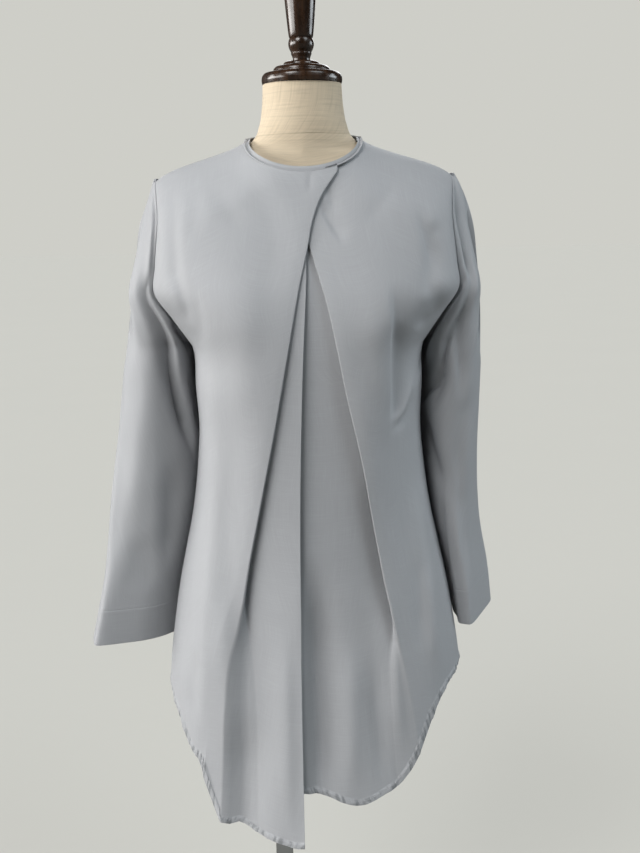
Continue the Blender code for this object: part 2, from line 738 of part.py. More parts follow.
def closed_loft(name, rings, finish):
    """A solid through closed rings of points, lowest first, with flat ends."""
    made = bmesh.new()
    verts = [[made.verts.new(point) for point in ring] for ring in rings]
    count = len(rings[0])
    for low, high in zip(verts, verts[1:]):
        for c in range(count):
            n = (c + 1) % count
            made.faces.new((low[c], low[n], high[n], high[c]))
    made.faces.new(verts[0][::-1])
    made.faces.new(verts[-1])
    bmesh.ops.triangulate(made, faces=made.faces)
    mesh = bpy.data.meshes.new(name)
    made.to_mesh(mesh)
    made.free()
    mesh.shade_smooth()
    return object_of(name, mesh, finish)


def torso_form(finish):
    """The form: superellipse rings. Its shoulders come up just under the cloth, which rests on them."""
    rings = []
    for z in FORM.keys:
        half_width, front, back, middle = (
            float(FORM.at(z, name)) for name in ("half_width", "front", "back", "middle")
        )
        power = 2 / float(FORM.at(z, "power"))
        ring = []
        for i in range(ROUND_SIDES):
            angle = 2 * math.pi * i / ROUND_SIDES
            sine, cosine = math.sin(angle), math.cos(angle)
            across = math.copysign(abs(cosine) ** power, cosine)
            along = abs(sine) ** power
            reach = (back if sine > 0 else front) - middle
            ring.append((half_width * across, middle + reach * along, z))
        rings.append(ring)
    return closed_loft("torso_form", rings, finish)


def neck_binding(finish):
    """The narrow binding round the neckline, open at the back slit, leaning in towards the neck."""
    angles = np.linspace(0, 2 * math.pi, 41)
    slit = SLIT_HALF_GAP + 0.3 * MM
    rows = []
    for share in (0.0, 0.5, 1.0):
        row = []
        for angle in angles:
            # The ring starts and ends at the back slit
            x = (NECK_HALF_WIDTH - BINDING_LIFT) * math.sin(angle)
            facing = BACK if math.cos(angle) > 0 else FRONT
            if abs(x) < slit and facing == BACK:
                x = slit if angle < math.pi else -slit
            height = float(top_height(np.float64(x), facing))
            y = float(body_point(np.float64(x), np.float64(height), facing)[1])
            inward = BINDING_LEAN * share
            lift = BINDING_LIFT + BINDING_WIDTH * share
            middle = 10 * MM * math.cos(angle)
            length = math.hypot(x, y - middle)
            row.append((x - inward * x / length, y - inward * (y - middle) / length, height + lift))
        rows.append(row)
    return cloth("neck_binding", np.array(rows), finish, wall=BINDING_WALL)


def back_fastening(thread, pearl):
    """A small round button beside the back slit, and the thread loop that goes round it."""
    x, z = BUTTON_X, NECK_SIDE_HEIGHT + NECK_BACK_RISE - BUTTON_DROP
    low, high = (Vector(body_point(np.float64(x), np.float64(z + step), BACK)) for step in (-MM, MM))
    normal = Vector((1, 0, 0)).cross(low - high).normalized()
    seat = (low + high) / 2 + normal * (WALL / 2 + SEAT_GAP + BUTTON_THICKNESS / 2)
    turn = Vector((0, 0, 1)).rotation_difference(normal).to_euler()
    bpy.ops.mesh.primitive_cylinder_add(
        vertices=20, radius=BUTTON_RADIUS, depth=BUTTON_THICKNESS, location=seat, rotation=turn
    )
    button = bpy.context.object
    edge = button.modifiers.new("rounded", "BEVEL")
    edge.width = 0.7 * MM
    edge.segments = 2
    bpy.ops.mesh.primitive_torus_add(
        major_segments=28,
        minor_segments=8,
        major_radius=BUTTON_RADIUS + LOOP_WIRE + 0.5 * MM,
        minor_radius=LOOP_WIRE,
        location=seat,
        rotation=turn,
    )
    loop = bpy.context.object
    loop.scale.x = 1.15
    for made, name, finish in ((button, "neck_button", pearl), (loop, "button_loop", thread)):
        made.name = made.data.name = name
        made.data.materials.append(finish)
        for old in made.users_collection:
            old.objects.unlink(made)
        bpy.data.collections["tunic_on_form"].objects.link(made)


def stand(chrome, dark):
    turned(
        "stand_base",
        [
            (BASE_RADIUS - 2 * MM, 0),
            (BASE_RADIUS, 2 * MM),
            (BASE_RADIUS, BASE_THICKNESS - 4 * MM),
            (BASE_RADIUS - 4 * MM, BASE_THICKNESS),
            (HUB_RADIUS + 4 * MM, BASE_THICKNESS + 2 * MM),
            (HUB_RADIUS, BASE_THICKNESS + 5 * MM),
            (HUB_RADIUS - 4 * MM, HUB_HEIGHT),
        ],
        dark,
        x=POLE_X,
    )
    turned(
        "stand_pole",
        [(POLE_RADIUS, HUB_HEIGHT + SEAT_GAP), (POLE_RADIUS, SOCKET_BOTTOM - SEAT_GAP)],
        chrome,
        x=POLE_X,
    )
    turned(
        "pole_socket",
        [
            (POLE_RADIUS + 5 * MM, SOCKET_BOTTOM),
            (POLE_RADIUS + 6 * MM, SOCKET_BOTTOM + 34 * MM),
            (POLE_RADIUS + 36 * MM, SOCKET_BOTTOM + 44 * MM),
            (POLE_RADIUS + 36 * MM, FORM_BOTTOM - SEAT_GAP),
        ],
        dark,
        x=POLE_X,
    )


def neck_wood(wood):
    for name, table in (("neck_cap", CAP_PROFILE), ("neck_column", COLUMN_PROFILE)):
        turned(name, [(radius, height) for _, radius, height in table.rows], wood)


def main():
    for old in list(bpy.data.objects):
        bpy.data.objects.remove(old)
    kept = bpy.data.collections.new("tunic_on_form")
    bpy.context.scene.collection.children.link(kept)

    crepe = material("grey_crepe", (0.34, 0.35, 0.38), 0.55)
    linen = material("form_linen", (0.60, 0.52, 0.40), 0.85)
    wood = material("dark_wood", (0.045, 0.022, 0.015), 0.30)
    chrome = material("chrome", (0.70, 0.71, 0.72), 0.12, 1.0)
    dark = material("stand_metal", (0.10, 0.10, 0.11), 0.40, 0.9)
    pearl = material("button_shell", (0.50, 0.51, 0.54), 0.35)
    thread = material("loop_thread", (0.30, 0.31, 0.34), 0.70)

    stand(chrome, dark)
    torso_form(linen)
    neck_wood(wood)
    cloth("front_right", front_half(FRONT_RIGHT, HEM_RIGHT, -1), crepe)
    cloth("front_left", front_half(FRONT_LEFT, HEM_LEFT, 1), crepe)
    back = back_panel()
    cloth("back", back, crepe, cut_after=back.shape[1] // 2 - 1)
    neck_binding(crepe)
    back_fastening(thread, pearl)
    for name, table, fold_table, side in (
        ("right", SLEEVE_RIGHT, SLEEVE_RIGHT_FOLDS, -1),
        ("left", SLEEVE_LEFT, SLEEVE_LEFT_FOLDS, 1),
    ):
        low = table.keys[0]
        seam = low + CUFF_DEPTH
        cloth(f"sleeve_{name}", sleeve(table, fold_table, side, seam + CUFF_GAP), crepe, closed=True)
        cuff = sleeve(table, fold_table, side, low, high=seam, rows=2)
        cloth(f"cuff_{name}", cuff, crepe, wall=1.4 * MM, closed=True)


main()
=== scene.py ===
"""A pleated-front tunic on a limbless dress form: cloth, seams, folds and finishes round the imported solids.

Laid out as an add-on and run as a script. Each operator in the sidebar panel builds one group of
pieces. The shape tables and functions repeat the solids' own. The surfaces take more rows and
columns from them, and finer creases are laid over the same forms.
"""

import math

import bmesh
import bpy
import numpy as np
from bpy.props import FloatProperty, FloatVectorProperty, PointerProperty
from mathutils import Matrix, Vector


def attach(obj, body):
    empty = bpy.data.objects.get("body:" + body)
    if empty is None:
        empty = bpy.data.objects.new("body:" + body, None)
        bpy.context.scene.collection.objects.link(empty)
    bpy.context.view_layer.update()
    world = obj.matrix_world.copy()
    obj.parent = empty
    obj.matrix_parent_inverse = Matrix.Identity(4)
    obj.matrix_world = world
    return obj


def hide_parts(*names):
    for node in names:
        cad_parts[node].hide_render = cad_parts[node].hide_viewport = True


bl_info = {
    "name": "Pleated Tunic on a Dress Form",
    "version": (1, 0, 0),
    "blender": (4, 5, 0),
    "location": "3D View > Sidebar > Tunic",
    "description": "Builds a crepe tunic with a crossed and pleated front, its dress form and its stand",
    "category": "Add Mesh",
}

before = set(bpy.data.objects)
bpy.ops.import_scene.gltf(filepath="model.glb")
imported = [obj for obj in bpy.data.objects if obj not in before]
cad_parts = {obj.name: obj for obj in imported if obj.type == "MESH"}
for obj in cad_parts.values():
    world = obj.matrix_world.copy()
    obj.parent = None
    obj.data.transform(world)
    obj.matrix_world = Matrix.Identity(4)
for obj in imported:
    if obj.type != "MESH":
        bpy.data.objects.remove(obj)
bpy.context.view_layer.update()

MM = 0.001
FRONT = -1
BACK = 1

# Neckline and shoulders
NECK_HALF_WIDTH = 72 * MM
NECK_SIDE_HEIGHT = 1.403
NECK_FRONT_DROP = 41.5 * MM
NECK_BACK_RISE = 12 * MM
NECK_CROWN = 22.3 * MM
SHOULDER_SLOPE = 0.285
SHOULDER_CURL = 6 * MM
SHOULDER_CURL_LENGTH = 15 * MM
SHOULDER_TIP = 190 * MM
SHOULDER_TIP_DROP = 8 * MM
SHOULDER_ROUND = 75 * MM
BINDING_WIDTH = 5 * MM
BINDING_LEAN = 1.5 * MM
BINDING_LIFT = 1.2 * MM

# Armhole: an upright oval between the shoulder tip and the underarm
ARMHOLE_TOP = 1.358
ARMHOLE_BOTTOM = 1.150
ARMHOLE_MIDDLE = (ARMHOLE_TOP + ARMHOLE_BOTTOM) / 2
ARMHOLE_RISE = (ARMHOLE_TOP - ARMHOLE_BOTTOM) / 2
ARMHOLE_FRONT = 55 * MM
ARMHOLE_BACK = 60 * MM
ARMHOLE_GAP = 1.8 * MM
SIDE_Y = 5 * MM
SIDE_HEM_HEIGHT = 0.68
HALF_SEAM = 0.35 * MM

# Body section: y runs from the side to the centre as (1 - share ** power) ** 0.5
SECTION_POWER = 2.5
BUST_HALF_SPACING = 82 * MM
BUST_HEIGHT = 1.175
BUST_RISE = 9 * MM
BUST_SPREAD = 46 * MM
BUST_HANG = 0.34

# Crossed front, back opening, cuffs and sleeves
FLAP_LIFT_WIDTH = 45 * MM
FLAP_CURL_WIDTH = 8 * MM
SLIT_HALF_GAP = 0.6 * MM
SLIT_DEPTH = 110 * MM
BUTTON_RADIUS = 5 * MM
BUTTON_THICKNESS = 2.4 * MM
BUTTON_X = 7 * MM
BUTTON_DROP = 7 * MM
BUTTON_SEAT = 0.5 * MM
LOOP_WIRE = 0.8 * MM
LOOP_CORE = 0.9
LOOP_CLEARANCE = 0.5 * MM
LOOP_STRETCH = 1.15
LOOP_TURNS = 24
LOOP_PLIES = 3
LOOP_PLY_RISE = 0.09
CUFF_DEPTH = 50 * MM
CUFF_GAP = 0.4 * MM
CUFF_FLAT_RISE = 110 * MM
CUFF_WALL = 1.4 * MM
CUFF_EDGE_SHARE = 0.6
SLEEVE_FLATNESS = 0.35
SLEEVE_SQUARENESS = 0.38
SLEEVE_INNER_FOLD = 0.5
SLEEVE_SQUARE_TOP = 1.10
SLEEVE_SQUARE_RISE = 0.20
CREASE_FADE_ANGLE = math.radians(8)
CREASE_FADE_DROP = 20 * MM
CREASE_END = 0.36
RELIEF_EDGE_POWER = 8
UNDERARM_EASE = 75 * MM
ARMHOLE_EASE = 0.9
ARMHOLE_EDGE_POWER = 12

# The binding's wall, and how it lies round the neck
BINDING_WALL = 1.2 * MM
BINDING_EDGE_SHARE = 0.65
BINDING_EDGE_RISE = 2.5
BINDING_BACK_WIDTH = 0.5
BINDING_BACK_LEAN = 2.2
THIN_SHARE = 0.5
BINDING_SLIT_INSET = 0.3 * MM
BINDING_MIDDLE = 10 * MM
BINDING_HOLLOW = 0.35 * MM

# The turned hem: how softly its upper edge and its fold end, and how it puckers, as (wavelength, height)
HEM_STEP = 1.2 * MM
HEM_ROLL = 2.2 * MM
HEM_EDGE_SHARE = 0.62
HEM_SLANT = 0.9
HEM_RIPPLES = [(19 * MM, 0.3 * MM), (10.3 * MM, 0.22 * MM), (37 * MM, 0.5 * MM)]
HEM_PUCKERS = [(6.4 * MM, 0.2 * MM), (9.7 * MM, 0.22 * MM)]
BINDING_RIPPLES = [(6.1 * MM, 0.10 * MM), (13 * MM, 0.12 * MM)]

# How far each sewn edge reaches towards its neighbour as it rolls inwards, and how far it goes in
SEAM_REACH = 0.45 * MM
ARMHOLE_REACH = 1.3 * MM
BINDING_REACH = 1.0 * MM
SEAM_TURN = 3 * MM

# Stand
POLE_X = -52 * MM
POLE_RADIUS = 12.5 * MM
BASE_RADIUS = 175 * MM
BASE_THICKNESS = 12 * MM
HUB_RADIUS = 26 * MM
HUB_HEIGHT = 32 * MM
SOCKET_BOTTOM = 0.725
FORM_BOTTOM = 0.775
FORM_SHOULDERS = 1.30
SEAT_GAP = 0.3 * MM

# How finely each surface is drawn
ARMHOLE_ROWS = 72
SKIRT_ROWS = 118
HEM_ROWS = 20
HEM_ROWS_SPAN = 0.026
SLEEVE_COLUMNS = 120
SLEEVE_ROWS = 170
SLEEVE_ROW_POWER = 1.25
CUFF_ROWS = 30
BINDING_COLUMNS = 260
BINDING_ROWS = 12
LOOP_COLUMNS = 120
LOOP_ROWS = 24
FORM_LOWER_ROWS = 120
FORM_UPPER_ROWS = 110
FORM_SIDES = 160
ROUND_SIDES = 96
BASE_SIDES = 128
BUTTON_SIDES = 48
COLUMN_ROWS = 91
TURNED_ANGLES = (90, 60, 30)
TURNED_ROWS = 1 + len(TURNED_ANGLES)
SETTLING_STEPS = 40
SHARP_ANGLE = math.radians(52)


class Table:
    """Rows of sizes with named columns, given in millimetres and kept in metres. PLAIN ones stay as given."""

    PLAIN = {"order", "power", "turn", "a_top", "a_low", "a_spread"}

    def __init__(self, names, *rows):
        self.names = names.split()
        self.rows = np.array(rows, float) * [1 if name in self.PLAIN else MM for name in self.names]


class Curve(Table):
    """A table read between its rows along a smooth curve. The first column is the key."""

    def __init__(self, names, *rows):
        super().__init__(names, *sorted(rows))
        self.keys = self.rows[:, 0]
        self.slopes = np.gradient(self.rows, self.keys, axis=0)

    def at(self, key, name):
        column = self.names.index(name)
        key = np.clip(np.asarray(key, float), self.keys[0], self.keys[-1])
        low = np.clip(np.searchsorted(self.keys, key) - 1, 0, len(self.keys) - 2)
        span = self.keys[low + 1] - self.keys[low]
        t = (key - self.keys[low]) / span
        start, end = self.rows[low, column], self.rows[low + 1, column]
        leave, arrive = self.slopes[low, column] * span, self.slopes[low + 1, column] * span
        return (
            start * (2 * t**3 - 3 * t**2 + 1)
            + leave * (t**3 - 2 * t**2 + t)
            + end * (3 * t**2 - 2 * t**3)
            + arrive * (t**3 - t**2)
        )


# The cloth body at each height
BODY = Curve(
    "height half_width front back",
    (1420, 190, -40, 110),
    (1403, 190, -58, 110),
    (1361, 190, -78, 109),
    (1310, 184, -100, 110),
    (1250, 189, -122, 112),
    (1218, 192, -131, 112),
    (1185, 172, -136, 111),
    (1150, 153.5, -138, 110),
    (1090, 150, -137, 107),
    (1040, 148, -135, 105),
    (990, 152, -133, 107),
    (920, 162, -131, 113),
    (870, 173, -131, 120),
    (820, 184, -132, 128),
    (770, 193, -133, 133),
    (700, 203, -136, 140),
    (600, 207, -140, 148),
    (480, 210, -146, 155),
)

# Each front half at each height. "across" runs from the half's own side seam to the other side,
# and "depth" runs inwards from the body's surface.
# edge: the visible fold; under: how far the cloth turns back under it, below 0 where the fold has
# opened into a wave; end: the inner edge; lap: how far from the edge the two halves lie doubled
FRONT_RIGHT = Curve(
    "height edge under end edge_depth valley_depth end_depth edge_radius valley_radius lap",
    (1362, 40, 11, 35, -3.6, 0, 0, 0.9, 0.9, 76),
    (1333, 20, 12, 15, -3.6, 0, 0, 0.9, 0.9, 36),
    (1299, 7, 13, 3.5, -3.6, 0, 0, 0.9, 0.9, 10),
    (1276, 2.5, 15, 1.2, -3.4, 0.6, 0, 0.9, 0.9, 2),
    (1232, -8, 20, -0.7, -3, 3, 0.3, 1, 1.2, 0),
    (1140, -26, 24, -6.5, -3, 5.5, 0.3, 1, 1.8, 0),
    (1047, -44, 26, -11, -3, 7.5, 0, 1, 2, 0),
    (930, -69, 25, -15, -4, 9.5, -1, 1.4, 2.5, 0),
    (880, -80, 17, -16, -4, 10.5, -2, 1.8, 2.8, 0),
    (840, -87, 8, -16.5, -3, 11.5, -3, 2.8, 3.2, 0),
    (800, -94, -3, -17, -2, 12, -3, 4.4, 5, 0),
    (752, -101, -12, -18, -1, 12, -3, 8, 8, 0),
    (700, -106, -17, -18.5, 0, 11, -4, 10, 10, 0),
    (600, -114, -20, -19, 0, 9, -5, 13, 13, 0),
    (480, -122, -22, -19.5, 0, 8, -6, 15, 15, 0),
)
FRONT_LEFT = Curve(
    "height edge under end edge_depth valley_depth end_depth edge_radius valley_radius lap",
    (1362, 34, 11, 29, 1.8, 5.4, 5.4, 0.9, 0.9, 76),
    (1333, 15, 12, 10, 1.8, 5.4, 5.4, 0.9, 0.9, 37),
    (1299, 2, 13, -2, 1.8, 5.4, 5.4, 0.9, 0.9, 11),
    (1276, -4, 15, -2, 1.6, 5.5, 5.4, 0.9, 0.9, 2),
    (1262, -8, 17, 1, 0.5, 6, 5.4, 1, 1.1, 0),
    (1211, -22.6, 22, 17, -2, 8, 5.5, 1, 1.4, 0),
    (1157, -33.6, 24, 25, -3, 10, 6.5, 1, 1.8, 0),
    (1100, -43.6, 26, 30, -3, 11.5, 6.5, 1, 2.2, 0),
    (1027, -58.5, 26, 34, -3, 13, 6.5, 1, 2.5, 0),
    (949, -72.5, 26, 36, -4, 14, 6.5, 1.2, 2.5, 0),
    (880, -85, 20, 38, -4, 15, 6, 1.8, 3, 0),
    (830, -94, 11, 38, -3.5, 15, 5.5, 3, 4.2, 0),
    (785, -102, 0, 38, -2.5, 14.5, 5.5, 5, 5.6, 0),
    (740, -109, -9, 38, -1.5, 13.5, 5, 7.5, 7.5, 0),
    (670, -119, -13, 38, 0, 11, 4.5, 10, 10, 0),
    (520, -136, -15, 38, 0, 8, 4, 13, 13, 0),
)

# The hems, as height over the width across
HEM_RIGHT = Curve(
    "x height",
    (-215, 700),
    (-206, 676),
    (-190, 646),
    (-175, 612),
    (-156, 582),
    (-147, 544),
    (-137, 520),
    (-115, 511),
    (-88, 503),
    (-55, 496),
    (-27, 492),
    (-16, 494),
)
HEM_LEFT = Curve(
    "x height",
    (-70, 572),
    (-20, 565),
    (20, 554),
    (55, 543),
    (85, 552),
    (115, 570),
    (135, 600),
    (155, 648),
    (173, 678),
    (195, 692),
    (215, 696),
)
HEM_BACK = Curve(
    "x height",
    (-215, 700),
    (-204, 664),
    (-188, 604),
    (-150, 549),
    (-80, 514),
    (0, 503),
    (80, 516),
    (150, 560),
    (190, 630),
    (206, 693),
    (215, 720),
)

# Long soft folds on the body, from one point to another; rise is outwards
FRONT_FOLDS = Table(
    "x_top z_top x_low z_low spread rise",
    (-118, 1170, -146, 640, 20, 7),
    (-158, 1050, -178, 720, 14, -5),
    (150, 1120, 103, 1055, 9, 6),
    (104, 1180, 104, 1050, 13, -5),
    (140, 960, 166, 700, 16, 6),
    (-165, 1310, -160, 1230, 10, -5),
    (160, 1300, 150, 1200, 11, -6),
)
BACK_FOLDS = Table(
    "x_top z_top x_low z_low spread rise",
    (-100, 1120, -128, 560, 21, 10),
    (-48, 1000, -56, 520, 20, -9),
    (6, 1080, 10, 510, 23, 10),
    (56, 980, 72, 530, 20, -10),
    (106, 1120, 134, 580, 21, 10),
    (-140, 1290, -120, 1200, 13, -5),
    (142, 1290, 122, 1200, 13, -5),
)

# Sleeve rings at each height: centre outwards from the middle and centre y, half-widths outwards
# and from front to back, and how far the ring is turned, in degrees
SLEEVE_RIGHT = Curve(
    "height out y half_out half_y turn",
    (1360, 160, 5, 32, 34, 0),
    (1340, 164, 5, 35, 40, 0),
    (1300, 169, 6, 46, 49, 0),
    (1262, 172, 7, 49.5, 53, 0),
    (1205, 181, 8, 50, 53, 0),
    (1146, 199.5, 10, 41.5, 50, 0),
    (1086, 203, 10, 48, 46, -1),
    (1004, 209.5, 10, 53.5, 40, -3),
    (940, 218, 8, 55.5, 35, -5),
    (876, 229, 5, 53, 30, -8),
    (810, 241, 2, 51.5, 25, -11),
    (785, 246, 1, 52, 23, -12),
    (733, 256, 0, 54.5, 19, -14),
)
SLEEVE_LEFT = Curve(
    "height out y half_out half_y turn",
    (1360, 160, 5, 32, 34, 0),
    (1340, 165, 5, 38, 40, 0),
    (1300, 172, 6, 45.5, 49, 0),
    (1253, 178, 7, 46, 53, 0),
    (1194, 185, 9, 44.5, 55, 0),
    (1133, 194.5, 12, 36.5, 56, -2),
    (1050, 192.5, 16, 37.5, 54, -8),
    (987, 194.5, 20, 34, 53, -15),
    (922, 200, 24, 28, 53, -20),
    (856, 209.5, 26, 21.5, 53, -24),
    (811, 218.5, 27, 18, 53, -25),
    (748, 227.5, 28, 15, 52, -26),
)

# Sleeve folds over height and the ring angle, which is in degrees from the outer side towards the
# front, as a_spread is
SLEEVE_RIGHT_FOLDS = Table(
    "a_top z_top a_low z_low a_spread rise",
    (40, 1325, 92, 1215, 11, -7),
    (28, 1300, 62, 1150, 12, 4),
    (98, 1200, 150, 1015, 13, -9),
    (80, 1120, 95, 860, 20, 4),
    (250, 1180, 290, 900, 22, 6),
    (220, 1080, 240, 850, 16, -6),
)
SLEEVE_LEFT_FOLDS = Table(
    "a_top z_top a_low z_low a_spread rise",
    (42, 1325, 80, 1215, 11, -9),
    (24, 1300, 50, 1130, 12, 4),
    (92, 1190, 130, 1060, 14, -8),
    (60, 1080, 70, 900, 18, -5),
    (250, 1180, 290, 900, 22, 6),
    (220, 1080, 240, 850, 16, -6),
)

# The form's rings: half width, front and back y, the y of its ridge, and how square it is
FORM = Curve(
    "height half_width front back middle power",
    (775, 142, -90, 100, 0, 2.2),
    (781, 149, -95, 105, 0, 2.2),
    (795, 153, -98, 108, 0, 2.2),
    (860, 156, -100, 108, 0, 2.2),
    (910, 149, -99, 101, 0, 2.2),
    (970, 134, -96, 90, 0, 2.2),
    (1030, 124, -94, 85, 0, 2.2),
    (1090, 127, -104, 88, 0, 2.2),
    (1140, 136, -117, 92, 0, 2.2),
    (1180, 144, -120, 96, 0, 2.2),
    (1220, 152, -112, 98, 1, 2.2),
    (1260, 158, -98, 98, 2, 2.1),
    (1300, 162, -82, 93, 3, 2),
    (1330, 162, -68, 83, 4, 1.9),
    (1352, 158, -58, 70, 5, 1.75),
    (1366, 145, -53, 62, 5, 1.6),
    (1375.5, 128, -50, 58, 5, 1.5),
    (1385.8, 108.8, -48, 55, 5, 1.45),
    (1390, 88, -48, 54, 5, 1.5),
    (1396, 74, -47, 53.5, 4, 1.65),
    (1405, 63, -47, 52.5, 3, 1.85),
    (1421, 55.5, -48, 51, 2, 2),
    (1442, 51.5, -48, 50, 1, 2),
    (1470, 49.5, -48, 49, 0, 2),
)

# Turned wood over the neck: a stepped cap, then a column with a ball foot
CAP_PROFILE = Table(
    "radius height",
    (50, 1470.6),
    (50.8, 1475),
    (50, 1480),
    (47, 1483.5),
    (36, 1484.5),
    (35.5, 1488.5),
    (32.5, 1491.5),
    (23.5, 1492.5),
    (22.2, 1496),
    (19, 1497.5),
)
COLUMN_PROFILE = Curve(
    "order radius height",
    (0, 10.5, 1497.8),
    (1, 11, 1502),
    (2, 12.8, 1506.5),
    (3, 12.8, 1508.5),
    (4, 15, 1513),
    (5, 16, 1518),
    (6, 15.2, 1523),
    (7, 13.8, 1525.8),
    (8, 15.2, 1527.5),
    (9, 17.4, 1548),
    (10, 19.6, 1574),
    (11, 21.4, 1605),
    (12, 22.2, 1632),
    (13, 21.2, 1643),
    (14, 17, 1652),
    (15, 9, 1657),
)

# Finer creases, each from a top point to a low point. bow pushes the middle sideways, near and far
# are the widths of its two flanks towards smaller and larger first coordinates
FRONT_CREASES = Table(
    "x_top z_top x_low z_low bow near far rise",
    (91, 1240, 93.5, 1020, 1, 15, 4, 4),
    (102, 1236, 106, 1040, 0, 4.5, 16, -5),
    (166, 1160, 106, 1036, -3, 4, 13, -5.2),
    (172, 1150, 113, 1030, -3, 10, 4.5, 2.2),
    (176, 1214, 128, 1168, 4, 11, 6, -5.8),
    (168, 1246, 132, 1200, 4, 8, 12, 3),
    (138, 1322, 166, 1240, -4, 6, 11, -3.6),
    (150, 1318, 172, 1262, -3, 8, 8, 2.2),
    (25, 1345, 36, 1312, 0, 3, 9, -2),
    (16, 1330, 48, 1274, -2, 3.5, 13, -3.2),
    (6.8, 1364, 5.5, 1336, 0, 2.5, 4, -1.2),
    (-168, 1350, -156, 1290, 0, 8, 10, -2.6),
    (-132, 1345, -138, 1280, 0, 9, 12, -1.6),
    (-160, 1245, -141, 1180, 0, 6, 11, -3.6),
    (-136, 1240, -126, 1150, 2, 10, 8, -1.6),
    (-88, 850, -103, 590, 2, 7, 10, -3.6),
    (-101, 690, -114.5, 420, 0, 12, 26, -14.5),
    (-40, 820, -43, 495, 2, 20, 12, 4.2),
    (-4, 900, 0, 480, 0, 8, 24, -16.5),
    (46, 780, 44, 545, 1, 13, 12, 4.2),
    (74, 760, 88, 545, 0, 9, 11, -4),
    (147, 870, 153, 720, 1, 6, 10, 3),
    (137, 890, 140, 740, 0, 9, 6, -2.6),
    (-136, 1120, -152, 880, 3, 10, 16, -2.6),
    (-112, 1110, -130, 800, 2, 12, 14, 2.2),
    (-128, 900, -160, 620, 2, 12, 20, 2.2),
    (62, 1140, 70, 930, 2, 16, 20, 2),
    (-60, 1250, -78, 1050, 2, 22, 18, 1.8),
    (-178, 800, -190, 680, 0, 6, 10, 2.2),
    (118, 1356, 70, 1296, 2, 12, 10, -1.6),
    (-112, 1354, -72, 1290, -2, 10, 12, -1.4),
    (-111, 860, -120, 560, 0, 14, 10, 6.2),
    (70, 1215, 82, 1080, 0, 14, 12, 2.6),
    (-152, 760, -170, 640, 0, 10, 12, -3),
    (89, 860, 112, 590, 0, 16, 9, 6),
)
BACK_CREASES = Table(
    "x_top z_top x_low z_low bow near far rise",
    (-165, 1210, -105, 1110, 6, 7, 14, -3.4),
    (166, 1205, 110, 1120, -5, 13, 6, -3.2),
    (-150, 1160, -62, 1058, 8, 10, 8, 2.2),
    (152, 1150, 70, 1062, -6, 8, 12, 2),
    (-88, 900, -100, 600, 2, 7, 14, -2.6),
    (-18, 960, -26, 560, 2, 12, 7, 2.8),
    (34, 880, 38, 540, -2, 8, 13, -2.4),
    (86, 930, 100, 580, 2, 14, 8, 2.6),
    (150, 980, 166, 700, 1, 8, 12, -2.4),
    (-150, 960, -168, 680, 1, 12, 7, -2.2),
    (-120, 1352, -60, 1300, 3, 10, 14, -1.4),
    (116, 1350, 64, 1296, -3, 13, 10, -1.4),
    (-40, 1230, 20, 1120, 8, 20, 16, 1.6),
    (4, 1305, 2, 1250, 0, 5, 6, -1.2),
)
SLEEVE_RIGHT_CREASES = Table(
    "a_top z_top a_low z_low bow near far rise",
    (92, 1262, 172, 965, -10, 14, 3.5, -8),
    (101, 1262, 182, 972, -10, 3.2, 17, 5.8),
    (122, 1180, 176, 1138, 0, 8, 9, -7),
    (14, 1356, 112, 1214, 2, 8, 3.5, 3.4),
    (30, 1352, 112, 1226, 2, 4, 13, -9.5),
    (150, 1120, 176, 1020, 0, 8, 10, -4),
    (60, 1100, 86, 900, 2, 16, 20, 3),
    (110, 1000, 128, 830, 2, 12, 20, -5),
    (36, 1060, 44, 840, 2, 16, 14, -2),
    (84, 900, 98, 800, 1, 10, 12, -2),
    (236, 1170, 262, 1050, 3, 6, 12, -4.8),
    (262, 1150, 300, 1000, 3, 10, 6, 3.6),
    (284, 1020, 320, 900, 3, 8, 12, -3.4),
    (300, 1330, 286, 1200, 2, 6, 10, -3.6),
    (14, 1120, 8, 1000, 3, 10, 12, -1.6),
    (212, 1300, 186, 610, 0, 18, 20, 11.5),
    (8, 1340, 14, 1110, 0, 34, 32, -7),
)
SLEEVE_LEFT_CREASES = Table(
    "a_top z_top a_low z_low bow near far rise",
    (36, 1362, 116, 1216, 1, 3.5, 6, 3.4),
    (12, 1356, 100, 1200, 1, 13, 5, -11),
    (92, 1240, 72, 1060, 4, 14, 8, -8.5),
    (94, 1232, 112, 1216, 0, 3, 3, -1.6),
    (104, 1250, 180, 1104, -14, 12, 3.5, 5.2),
    (114, 1252, 184, 1120, -12, 3.5, 13, -7.2),
    (88, 1172, 126, 1092, 2, 3.5, 8, -4.4),
    (106, 1106, 180, 1056, 0, 4.5, 12, -5.2),
    (176, 1060, 84, 930, 0, 14, 16, -7),
    (60, 1120, 50, 960, 2, 14, 12, 2.6),
    (70, 1000, 74, 820, 2, 10, 14, 3.2),
    (100, 960, 112, 800, 1, 10, 14, -4),
    (40, 960, 42, 830, 1, 10, 12, -1.8),
    (236, 1170, 262, 1050, 3, 6, 12, -4.8),
    (262, 1150, 296, 1000, 3, 10, 6, 3.6),
    (280, 1020, 312, 910, 3, 8, 12, -3.2),
    (300, 1330, 286, 1200, 2, 6, 10, -3.6),
    (18, 1356, 24, 1334, 0, 2.2, 3, -1.8),
    (238, 1360, 150, 640, 0, 18, 24, 13.5),
    (6, 1350, 14, 1110, 0, 34, 34, -11),
    (178, 1020, 164, 480, 0, 22, 22, 6.5),
)
SLEEVE_DEGREE = 0.00085
SLEEVES = {
    "right": ((SLEEVE_RIGHT, SLEEVE_RIGHT_FOLDS, SLEEVE_RIGHT_CREASES), -1),
    "left": ((SLEEVE_LEFT, SLEEVE_LEFT_FOLDS, SLEEVE_LEFT_CREASES), 1),
}

